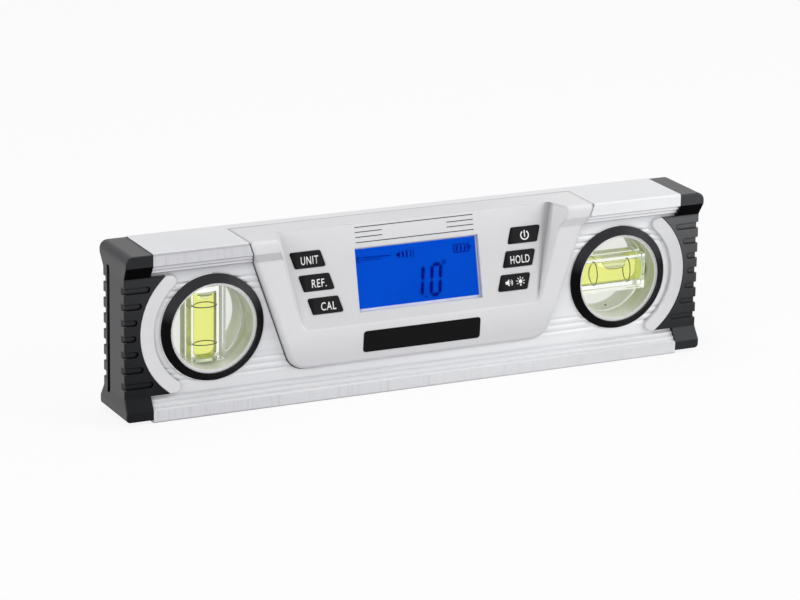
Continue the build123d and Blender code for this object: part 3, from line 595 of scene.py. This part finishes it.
materials = {
    "aluminium": aluminium(),
    "silver_plastic": silver_plastic(),
    "rubber": rubber(),
    "black_plastic": black_plastic("black_plastic"),
    "white_liner": white_liner(),
    "clear_acrylic": clear_acrylic(),
    "vial_plug": plain_moulding("vial_plug", (0.66, 0.70, 0.50), (0.74, 0.78, 0.60)),
    "spirit": spirit(),
    "air": air(),
    "line_ink": ink("line_ink", (0.075, 0.085, 0.04), (0.11, 0.12, 0.06)),
    "lcd_glass": lcd_glass(),
    "diffuser": plain_moulding("diffuser", (0.76, 0.80, 0.86), (0.82, 0.86, 0.90)),
    "circuit_board": circuit_board(),
    "chip_plastic": plain_moulding("chip_plastic", (0.018, 0.018, 0.02), (0.03, 0.03, 0.032)),
    "steel": plain_moulding("steel", (0.50, 0.50, 0.51), (0.60, 0.60, 0.61), 0.3, 1.0),
    "cell_wrap": plain_moulding("cell_wrap", (0.10, 0.11, 0.13), (0.15, 0.16, 0.18), 0.3),
}
key_plastic = black_plastic("key_plastic", 0.006, (0.36, 0.46), 0.12, 0.1, 0.007, 0.14)
label_black = black_plastic("label_black", 0.004, (0.30, 0.40), 0.06, 0.1, 0.006)
white_ink = ink("white_ink", (0.80, 0.80, 0.81), (0.88, 0.88, 0.89))
dark_ink = ink("dark_ink", (0.035, 0.035, 0.04), (0.06, 0.06, 0.065))
border_ink = ink("border_ink", (0.33, 0.36, 0.46), (0.37, 0.40, 0.50))
olive_ink = ink("olive_ink", (0.12, 0.13, 0.035), (0.17, 0.18, 0.055))
segment_ink = lit_segment()
module_gap = seam_shadow()
lens_clear = display_lens()

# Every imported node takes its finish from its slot, and a few have one of their own
node_slots = {part["node"]: part["material_slot"] for part in frame["record"]["subparts"]}
own_finish = {name: key_plastic for name in node_slots if name.endswith("_button")}
own_finish["label_plate"] = label_black
for name, node in frame["nodes"].items():
    node.data.materials.clear()
    node.data.materials.append(own_finish.get(name) or materials[node_slots[name]])


# Meshes


def placed(name, data):
    """Put an object in the scene."""
    item = bpy.data.objects.new(name, data)
    bpy.context.scene.collection.objects.link(item)
    return item


def applied(item):
    """Mesh of an object with its modifiers or its lettering applied."""
    bpy.context.view_layer.update()
    return bpy.data.meshes.new_from_object(item.evaluated_get(bpy.context.evaluated_depsgraph_get()))


def add_piece(name, mesh, material, body=LEVEL_BODY):
    """Put a mesh in the scene as a piece that rides on a body."""
    mesh.name = name
    mesh.materials.clear()
    mesh.materials.append(material)
    piece = placed(name, mesh)
    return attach(piece, body)


def finish_mesh(shape, name, smooth_angle=None):
    """Turn a bmesh in millimetres into a mesh in metres, with its normals outwards."""
    bmesh.ops.recalc_face_normals(shape, faces=shape.faces)
    shape.transform(Matrix.Scale(MM, 4))
    mesh = bpy.data.meshes.new(name)
    shape.to_mesh(mesh)
    shape.free()
    if smooth_angle is not None:
        mesh.shade_smooth()
        mesh.set_sharp_from_angle(angle=radians(smooth_angle))
    return mesh


def on_circle(centre, radius, angle):
    """Point on a circle at an angle in degrees."""
    return centre[0] + radius * cos(radians(angle)), centre[1] + radius * sin(radians(angle))


def skin(shape, rings, closed=False):
    """Join each ring of vertices to the next with faces, and the last to the first if closed."""
    following = rings[1:] + rings[:1] if closed else rings[1:]
    for low, high in zip(rings, following):
        count = max(len(low), len(high))
        for k in range(count):
            pairs = ((low, k), (low, k + 1), (high, k + 1), (high, k))
            corners = [row[index % len(row)] for row, index in pairs]
            shape.faces.new(list(dict.fromkeys(corners)))


def lathe(profile, steps=96):
    """Turn a half outline of (radius, height) points about the Z axis into a closed bmesh."""
    shape = bmesh.new()
    skin(shape, [
        [shape.verts.new((*point, height)) for point in disc((0, 0), radius, steps if radius else 1)]
        for radius, height in profile
    ])
    return shape


def round_corner(radius, height, corner, start, steps=6):
    """Points of a quarter round, counter-clockwise from an angle in degrees."""
    return [on_circle((radius, height), corner, start + 90 * k / steps) for k in range(steps + 1)]


def joined(first, second, operation):
    """Combine two meshes by a boolean and return the result."""
    holder, tool = placed("holder", first), placed("tool", second)
    step = holder.modifiers.new("combine", "BOOLEAN")
    step.object = tool
    step.operation = operation
    step.solver = "EXACT"
    made = applied(holder)
    for item in (holder, tool):
        bpy.data.objects.remove(item)
    return made


def prism(outlines, low, high):
    """Closed flat prisms with the given outlines between two heights, as one bmesh."""
    shape = bmesh.new()
    for outline in outlines:
        floor = [shape.verts.new((x, y, low)) for x, y in outline]
        roof = [shape.verts.new((x, y, high)) for x, y in outline]
        shape.faces.new(floor)
        shape.faces.new(roof)
        skin(shape, [floor, roof])
    return shape


def stroke(start, end, width):
    """Outline of a straight line of some width."""
    start, end = Vector(start), Vector(end)
    side = (end - start).orthogonal().normalized() * width / 2
    return [tuple(point) for point in (start - side, end - side, end + side, start + side)]


def arc_band(centre, inner, outer, start, end, steps=28):
    """Outline of a band between two radii, from one angle to another in degrees."""
    angles = [start + (end - start) * k / steps for k in range(steps + 1)]
    out = [on_circle(centre, outer, angle) for angle in angles]
    return out + [on_circle(centre, inner, angle) for angle in reversed(angles)]


def ring(centre, inner, outer):
    """A full ring as two half bands."""
    return [arc_band(centre, inner, outer, 0, 180), arc_band(centre, inner, outer, 180, 360)]


def disc(centre, radius, steps=28):
    """Outline of a disc."""
    return [on_circle(centre, radius, 360 * k / steps) for k in range(steps)]


def block(left, bottom, right, top):
    """Outline of a rectangle."""
    return [(left, bottom), (right, bottom), (right, top), (left, top)]


def frame_between(outer, inner):
    """Outlines of the four sides of a frame between two rectangles."""
    (left, bottom, right, top), (from_x, from_y, to_x, to_y) = outer, inner
    return [
        block(left, bottom, right, from_y),
        block(left, to_y, right, top),
        block(left, from_y, from_x, to_y),
        block(to_x, from_y, right, to_y),
    ]


def frame_of(left, bottom, right, top, width):
    """Outlines of the four sides of a frame of one width."""
    inner = (left + width, bottom + width, right - width, top - width)
    return frame_between((left, bottom, right, top), inner)


# The tilted panel as a frame: x to the right, y up the slope, z outwards
panel_up = Vector((0, sin(panel_tilt), cos(panel_tilt)))
panel_out = Vector((0, -cos(panel_tilt), sin(panel_tilt)))
panel_origin = Vector((0, -crest_forward, crest_height))
panel_axes = Matrix((Vector((1, 0, 0)), panel_up, panel_out)).transposed()
panel_place = Matrix.Translation(panel_origin) @ panel_axes.to_4x4()


def inlay(name, outlines, lift, material, body=LEVEL_BODY, thickness=ink_thickness):
    """Thin closed marks that lie on the panel's plane, their face lifted off it by lift."""
    shape = prism(outlines, lift - thickness, lift)
    shape.transform(panel_place)
    return add_piece(name, finish_mesh(shape, name), material, body)


# Clear bars, their spirit and the bubbles


def cylinder(radius, low, high, steps):
    """Closed cylinder about the Z axis."""
    return lathe([(0, low), (radius, low), (radius, high), (0, high)], steps)


def bar_mesh():
    """Clear bar along Z with its round web and the pocket for its plug, about its own centre."""
    shape = bmesh.new()
    bmesh.ops.create_cube(shape, size=1.0)
    shape.transform(Matrix.Diagonal((bar_width, bar_depth, bar_length, 1)))
    bmesh.ops.bevel(shape, geom=shape.edges[:], offset=bar_edge, segments=3, profile=0.5, affect="EDGES")
    web = cylinder(web_radius, -vial_web_thickness / 2, vial_web_thickness / 2, 128)
    web.transform(Matrix.Rotation(pi / 2, 4, "X"))
    whole = joined(finish_mesh(shape, "bar"), finish_mesh(web, "web"), "UNION")
    pocket = cylinder(plug_pocket_radius, -bar_length, -bar_length / 2 + plug_pocket_depth, 96)
    whole = joined(whole, finish_mesh(pocket, "pocket"), "DIFFERENCE")
    whole.shade_smooth()
    whole.set_sharp_from_angle(angle=radians(25))
    return whole


def spirit_shape(high, foot_round):
    """Liquid column along Z with its foot rounded, up to a height above its vial's centre."""
    side = round_corner(spirit_radius - foot_round, -spirit_low + foot_round, foot_round, -90, 12)
    side += round_corner(spirit_radius - spirit_end_round, high - spirit_end_round, spirit_end_round, 0)
    return lathe([(0, -spirit_low)] + side + [(0, high)])


def level_bubble_section(along):
    """Depth of the level bubble and half its angle in the bore, at a share of its half length."""
    fullness = max(1 - abs(along) ** bubble_fullness, bubble_least)
    depth = level_bubble_depth * fullness ** (1 / bubble_fullness)
    return depth, acos((bubble_radius - depth) / bubble_radius)


def level_bubble_shape(steps=40, around=24):
    """Bubble against the top of a bore along X: an arc above, a sagging skin below, pointed at both ends."""
    shape = bmesh.new()
    rings = []
    for k in range(1, steps):
        along = -cos(pi * k / steps)
        depth, half_angle = level_bubble_section(along)
        half_width = bubble_radius * sin(half_angle)
        sag = level_bubble_sag * depth / level_bubble_depth
        section = []
        for n in range(around):
            angle = half_angle * (1 - 2 * n / around)
            section.append((bubble_radius * sin(angle), bubble_radius * cos(angle)))
        for n in range(around):
            across = -1 + 2 * n / around
            section.append((half_width * across, bubble_radius - depth - sag * (1 - across**4)))
        rings.append([shape.verts.new((level_bubble_half * along, y, z)) for y, z in section])
    first, last = (
        [shape.verts.new((level_bubble_half * end, 0, bubble_radius - bubble_tip_drop))] for end in (-1, 1)
    )
    skin(shape, [first, *rings, last])
    return shape


def plumb_bubble_shape(steps=14):
    """Bubble under the end of an upright bore: flat on top, domed below, its top at height zero."""
    rim = plumb_bubble_rim
    profile = [(0, 0)] + list(reversed(round_corner(plumb_bubble_radius - rim, -rim, rim, 0)))
    drop = plumb_bubble_height - rim
    for k in range(1, steps):
        angle = pi / 2 * k / steps
        profile.append((plumb_bubble_radius * cos(angle), -rim - drop * sin(angle)))
    return lathe(profile + [(0, -plumb_bubble_height)])


def tube_loop(points, radius, sides=8):
    """Thin round tube along a closed loop of points."""
    shape = bmesh.new()
    off_loop = Vector((0.31, 0.17, 0.93))
    rings = []
    for k, point in enumerate(points):
        along = (points[(k + 1) % len(points)] - points[k - 1]).normalized()
        first = along.cross(off_loop).normalized()
        second = along.cross(first)
        section = disc((0, 0), radius, sides)
        rings.append([shape.verts.new(point + across * first + up * second) for across, up in section])
    skin(shape, rings, closed=True)
    return shape


def level_rim_points(steps=40):
    """Line where the level bubble's skin meets its bore."""
    radius = bubble_radius - rim_inset
    points = []
    for k in range(2 * steps):
        along = -cos(pi * k / steps)
        angle = level_bubble_section(along)[1] * (-1 if k < steps else 1)
        reach = (level_bubble_half - rim_short) * along
        points.append(Vector((reach, radius * sin(angle), radius * cos(angle))))
    return points


def dot_shape(across):
    """Small moulded nib on the front of the web beside the level bar."""
    shape = lathe([(0, 0), (dot_radius, 0), (0.8 * dot_radius, 0.8 * dot_height), (0, dot_height)], 24)
    shape.transform(Matrix.Rotation(pi / 2, 4, "X"))
    shape.transform(Matrix.Translation((across, -vial_web_thickness / 2, 0)))
    return shape


upright = Matrix.Identity(4)
lying = Matrix.Rotation(-pi / 2, 4, "Y")
for vial, turn, spirit_high, foot_round in (
    ("plumb", upright, plumb_spirit_high, plumb_foot_round),
    ("level", lying, level_spirit_high, spirit_end_round),
):
    low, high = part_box(f"{vial}_sleeve")
    place = Matrix.Translation((low + high) / 2) @ turn
    bar = bar_mesh()
    bar.transform(place)
    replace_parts(add_piece(f"{vial}_clear_bar", bar, materials["clear_acrylic"]),
                f"{vial}_vial_body")
    for number, across in ((1, -dot_across), (2, dot_across)) if vial == "level" else ():
        dot = finish_mesh(dot_shape(across), "dot", 40)
        dot.transform(place)
        add_piece(f"{vial}_web_dot_{number}", dot, olive_ink)
    column = finish_mesh(spirit_shape(spirit_high, foot_round), "column", 40)
    column.transform(place)
    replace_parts(add_piece(f"{vial}_spirit_column", column, materials["spirit"]),
                f"{vial}_vial_spirit")
    if vial == "level":
        shapes = level_bubble_shape(), tube_loop(level_rim_points(), rim_radius)
        shift = Vector((level_bubble_offset * MM, 0, 0))
    else:
        rim_line = [Vector((*point, -plumb_bubble_rim)) for point in disc((0, 0), plumb_bubble_radius, 64)]
        shapes = plumb_bubble_shape(), tube_loop(rim_line, rim_radius)
        shift = Vector((0, 0, (spirit_high - plumb_bubble_drop) * MM))
    bubble, rim = (finish_mesh(shape, "bubble", 50) for shape in shapes)
    for mesh in (bubble, rim):
        mesh.transform(Matrix.Translation((low + high) / 2 + shift))
    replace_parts(add_piece(f"{vial}_bubble_air", bubble, materials["air"], f"{vial}_bubble"),
                f"{vial}_bubble")
    # The rim tube is a painted dark outline where refraction darkens the bubble's edge
    add_piece(f"{vial}_bubble_rim", rim, olive_ink, f"{vial}_bubble")


# Display: lens, segments and signs

lens_out = display_width / 2 + lens_margin
lens_half = display_height / 2 + lens_margin
lens_outline = block(-lens_out, display_centre - lens_half, lens_out, display_centre + lens_half)
lens = prism([lens_outline], -lens_back, -lens_front)
bmesh.ops.bevel(lens, geom=lens.edges[:], offset=lens_edge, segments=2, profile=0.5, affect="EDGES")
lens.transform(panel_place)
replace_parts(add_piece("display_lens", finish_mesh(lens, "display_lens"), lens_clear),
            "display_window")

digit_height = 13.3
digit_width = 5.3
digit_lean = 0.13
digit_base = 7.95
segment_width = 1.5
segment_gap = 0.17


def segment(start, end):
    """Outline of one display segment: a bar with pointed ends."""
    start, end = Vector(start), Vector(end)
    along = (end - start).normalized()
    side = along.orthogonal() * segment_width / 2
    near, far = start + along * segment_gap, end - along * segment_gap
    tip = along * segment_width / 2
    return [near, near + tip + side, far - tip + side, far, far - tip - side, near + tip - side]


def digit(left, lit):
    """Outlines of a leaning seven-segment digit whose lit segments are named by letters."""
    inset = segment_width / 2
    right, top, middle = digit_width - inset, digit_height - inset, digit_height / 2
    corners = {
        "a": ((inset, top), (right, top)),
        "b": ((right, top), (right, middle)),
        "c": ((right, middle), (right, inset)),
        "d": ((inset, inset), (right, inset)),
        "e": ((inset, middle), (inset, inset)),
        "f": ((inset, top), (inset, middle)),
        "g": ((inset, middle), (right, middle)),
    }
    return [
        [(left + across + digit_lean * rise, digit_base + rise) for across, rise in segment(*corners[letter])]
        for letter in lit
    ]


digit_pitch = 7.7
last_digit = 4.35
decimal_point = block(2.7, 7.85, 3.6, 8.7)
degree_sign = ring((11.9, 21.05), 0.5, 0.92)
reading = digit(last_digit - digit_pitch, "bc") + digit(last_digit, "abcdef") + [decimal_point] + degree_sign
print_lift = -segment_depth + ink_thickness
inlay("display_reading", reading, print_lift, segment_ink)

level_sign = frame_of(-25.7, 24.55, -24.3, 26.6, 0.4)
level_sign += [stroke((-23.2, 26.35), (-10.8, 26.05), 0.4), stroke((-23.0, 25.4), (-15.0, 25.25), 0.36)]
sound_at = 25.88
sound_sign = [[(-8.7, sound_at), (-6.85, sound_at + 1.55), (-6.85, sound_at - 1.55)]]
waves = (-5.5, 1.15, 0.85), (-3.75, 1.5, 0.7), (-2.1, 1.75, 0.4), (-0.85, 1.95, 0.28)
for wave_x, wave_half, wave_width in waves:
    wave_radius, half_width = 2 * wave_half, wave_width / 2
    sound_sign.append(arc_band((wave_x - wave_radius, sound_at), wave_radius - half_width,
                               wave_radius + half_width, -29, 29, 10))
battery_sign = frame_of(16.5, 24.0, 23.2, 27.4, 0.4) + frame_of(23.2, 24.9, 24.2, 26.5, 0.34)
bar_low, bar_high = 24.75, 26.65
for left in (17.35, 19.15, 20.95):
    bar = (left, bar_low), (left + 1, bar_low), (left + 1.25, bar_high), (left + 0.5, bar_high)
    battery_sign.append(bar)
inlay("display_signs", level_sign + sound_sign + battery_sign, print_lift, segment_ink)

# Pale border that frames the lit part of the display
border_out, border_half = lens_out - 0.2, lens_half - 1.0
border_low, border_high = display_centre - border_half, display_centre + border_half
lit_part = (-26.05, 6.5, 26.2, 29.9)
border = frame_between((-border_out, border_low, border_out, border_high), lit_part)
inlay("display_border", border, print_lift, border_ink)


# Legends on the buttons


def key_centre(side, row):
    """Centre of a button on the panel."""
    return Vector((
        side * (button_first_x + row * button_row_pitch * button_column_lean * cos(panel_tilt)),
        button_first_row + row * button_row_pitch,
    ))


legend_lift = button_proud + 0.03
legend_height = 3.2
legend_drop = -0.3
letter_weight = 0.007
letter_spacing = 1.12


def word(name, text, centre, width, body):
    """Raised lettering on a button, fitted to a width and a height."""
    curve = bpy.data.curves.new(name, "FONT")
    curve.body = text
    curve.offset = letter_weight
    curve.resolution_u = 4
    curve.space_character = letter_spacing
    holder = placed(name, curve)
    flat = applied(holder)
    bpy.data.objects.remove(holder)
    shape = bmesh.new()
    shape.from_mesh(flat)
    bmesh.ops.remove_doubles(shape, verts=shape.verts, dist=1e-5)
    for axis, size in enumerate((width, legend_height)):
        reach = [v.co[axis] for v in shape.verts]
        low, length = min(reach), max(reach) - min(reach)
        for v in shape.verts:
            v.co[axis] = centre[axis] + ((v.co[axis] - low) / length - 0.5) * size
    for v in shape.verts:
        v.co.z = legend_lift - ink_thickness
    roof = bmesh.ops.extrude_face_region(shape, geom=shape.faces[:])
    for v in [item for item in roof["geom"] if isinstance(item, bmesh.types.BMVert)]:
        v.co.z = legend_lift
    shape.transform(panel_place)
    return add_piece(name, finish_mesh(shape, name), white_ink, body)


for text, body, side, row, shift, width in (
    ("UNIT", "unit_button", -1, 2, 0.6, 7.4),
    ("REF.", "reference_button", -1, 1, 0.8, 6.2),
    ("CAL", "calibrate_button", -1, 0, 1.0, 6.4),
    ("HOLD", "hold_button", 1, 1, 0.15, 8.5),
):
    centre = key_centre(side, row) + Vector((shift, legend_drop))
    word(f"{body}_legend", text, centre, width, body)

power_centre = key_centre(1, 2) + Vector((0.05, -0.2))
power_sign = [
    arc_band(power_centre, 1.45, 1.95, 122, 418),
    stroke(power_centre + Vector((0, -0.7)), power_centre + Vector((0, 2.0)), 0.48),
]
inlay("power_button_legend", power_sign, legend_lift, white_ink, "power_button")

sound_centre = key_centre(1, 0) + Vector((-2.5, 0.0))
lamp_centre = key_centre(1, 0) + Vector((2.55, 0.1))
sound_light_sign = [
    [tuple(sound_centre + Vector(point)) for point in (
        (-1.6, -0.55), (-0.95, -0.55), (0.05, -1.45), (0.05, 1.45), (-0.95, 0.55), (-1.6, 0.55))],
    arc_band(sound_centre, 0.75, 1.0, -40, 40, 10),
    arc_band(sound_centre, 1.35, 1.62, -45, 45, 10),
    disc(lamp_centre, 0.78),
    block(lamp_centre.x - 0.34, lamp_centre.y - 1.72, lamp_centre.x + 0.34, lamp_centre.y - 0.98),
]
for turn in range(-30, 211, 40):
    ray = Vector((cos(radians(turn)), sin(radians(turn))))
    sound_light_sign.append(stroke(lamp_centre + ray * 1.12, lamp_centre + ray * 1.95, 0.26))
inlay("sound_light_button_legend", sound_light_sign, legend_lift, white_ink, "sound_light_button")

# Four fine stripes on the panel above the display, the middle two open in the middle
stripe_width = 0.36
stripe_proud = 0.02
whole, parted = [(-26.1, 25.2)], [(-26.1, -14.5), (13.5, 25.2)]
stripes = []
for stripe_height, runs in ((65.5, whole), (63.6, parted), (61.7, parted), (59.7, whole)):
    slope = (stripe_height - crest_height) / cos(panel_tilt)
    low, high = slope - stripe_width / 2, slope + stripe_width / 2
    stripes += [block(left, low, right, high) for left, right in runs]
inlay("panel_stripes", stripes, stripe_proud, dark_ink)


# Painted shadow in the gap round the module's foot on the front web

foot_corner = 8.5
seam_width = 0.42
seam_proud = 0.03
seam_taper = 0.75
seam_taper_start = 0.4


def foot_outline(offset, steps=14):
    """Points of the module's outline on the right, from the web's top round to its foot, moved outwards."""
    slope = Vector((module_slant, 1)).normalized()
    outwards = Vector((slope.y, -slope.x))
    start = Vector((module_half - (rail_top - web_seam_top) * module_slant, web_seam_top))
    centre_z = foot_bottom + foot_corner
    side_at = module_half - (rail_top - centre_z) * module_slant
    centre = Vector((side_at - foot_corner / outwards.x, centre_z))
    first = -asin(module_slant / (1 + module_slant**2) ** 0.5)
    points = [start + outwards * offset]
    for k in range(steps + 1):
        angle = first + (-pi / 2 - first) * k / steps
        points.append(centre + (foot_corner + offset) * Vector((cos(angle), sin(angle))))
    return points + [Vector((centre.x - foot_corner, foot_bottom - offset))]


for name, side in (("left_module_seam", -1), ("right_module_seam", 1)):
    near, far = foot_outline(0.0), foot_outline(seam_width)
    seam = bmesh.new()
    rows = []
    for k, (inner, outer) in enumerate(zip(near, far)):
        taper = 1 - seam_taper * max(0, k / (len(near) - 1) - seam_taper_start)
        outer = inner + (outer - inner) * taper
        rows.append([
            seam.verts.new((side * point.x, -web_front - lift, point.y))
            for point, lift in ((inner, 0), (outer, 0), (outer, seam_proud), (inner, seam_proud))
        ])
    skin(seam, rows)
    for end in (rows[0], rows[-1]):
        seam.faces.new(end)
    add_piece(name, finish_mesh(seam, name), module_gap)


# Studio


def studio_floor(half_size, glow_share):
    """Pale floor just below the base that reads as white and keeps a soft shadow."""
    shape = bmesh.new()
    bmesh.ops.create_grid(shape, x_segments=1, y_segments=1, size=half_size)
    mesh = bpy.data.meshes.new("floor")
    shape.to_mesh(mesh)
    shape.free()
    floor = placed("floor", mesh)
    floor.location.z = -0.1 * MM
    finish = Finish("floor", base_color=(0.86, 0.86, 0.86), roughness=0.7, specular_ior_level=0.1)
    finish.relief(finish.noise(60, 2), 0.02, 0.2)
    glow = finish.nodes.new("ShaderNodeEmission")
    seen = Field(finish, seen_directly(finish.tree)) * glow_share
    blend_surface(finish.tree, seen.socket, finish.shader.outputs[0], glow.outputs[0], finish.output)
    mesh.materials.append(finish.material)


def seen_directly(tree):
    """One for rays from the camera, in reflections or through clear pieces, and zero for light that falls."""
    path = tree.nodes.new("ShaderNodeLightPath")
    total = path.outputs["Is Camera Ray"]
    for ray in ("Is Glossy Ray", "Is Transmission Ray"):
        larger = tree.nodes.new("ShaderNodeMath")
        larger.operation = "MAXIMUM"
        for socket, source in zip(larger.inputs, (total, path.outputs[ray])):
            tree.links.new(source, socket)
        total = larger.outputs[0]
    return total


def studio_world(fill):
    """White surroundings for what is seen, and a softer fill for what is lit."""
    world = bpy.data.worlds.new("studio")
    world.use_nodes = True
    bpy.context.scene.world = world
    tree = world.node_tree
    lit, white = tree.nodes["Background"], tree.nodes.new("ShaderNodeBackground")
    for background, strength in ((lit, fill), (white, 1)):
        background.inputs["Color"].default_value = (1, 1, 1, 1)
        background.inputs["Strength"].default_value = strength
    blend_surface(tree, seen_directly(tree), lit.outputs[0], white.outputs[0], tree.nodes["World Output"])


def softbox(name, place, width, height, watts):
    """A large soft lamp that faces the object."""
    lamp = bpy.data.lights.new(name, "AREA")
    lamp.shape = "RECTANGLE"
    lamp.size = width
    lamp.size_y = height
    lamp.energy = watts
    holder = placed(name, lamp)
    holder.location = place
    aim = Vector((0, 0, 0.03)) - Vector(place)
    holder.rotation_euler = aim.to_track_quat("-Z", "Y").to_euler()


def studio_camera():
    """Camera at the photograph's viewing angle."""
    azimuth, elevation, roll = radians(-25.950), radians(16.695), radians(0.934)
    distance, aside, above = 1444.25, -3.018, 30.666
    focal_pixels, image_width, sensor = 3636.56, 800, 36.0
    back = Vector((sin(azimuth) * cos(elevation), -cos(azimuth) * cos(elevation), sin(elevation)))
    level = Vector((cos(azimuth), sin(azimuth), 0))
    rise = back.cross(level)
    right = cos(roll) * level + sin(roll) * rise
    up = cos(roll) * rise - sin(roll) * level
    lens_data = bpy.data.cameras.new("camera")
    lens_data.sensor_width = sensor
    lens_data.sensor_fit = "HORIZONTAL"
    lens_data.lens = sensor * focal_pixels / image_width
    lens_data.clip_end = 20.0
    camera = placed("camera", lens_data)
    camera.matrix_world = (
        Matrix.Translation((right * aside + up * above + back * distance) * MM)
        @ Matrix((right, up, back)).transposed().to_4x4()
    )
    bpy.context.scene.camera = camera


studio_world(fill=0.36)
studio_floor(half_size=6.0, glow_share=0.88)
softbox("right_side", (1.2, -0.8, 0.55), 0.9, 0.8, 10.5)
softbox("left_side", (-1.2, -0.8, 0.55), 0.9, 0.8, 8.8)
softbox("overhead", (0.1, 0.15, 1.5), 1.4, 0.9, 9.0)
studio_camera()
bpy.context.scene.view_settings.view_transform = "Standard"
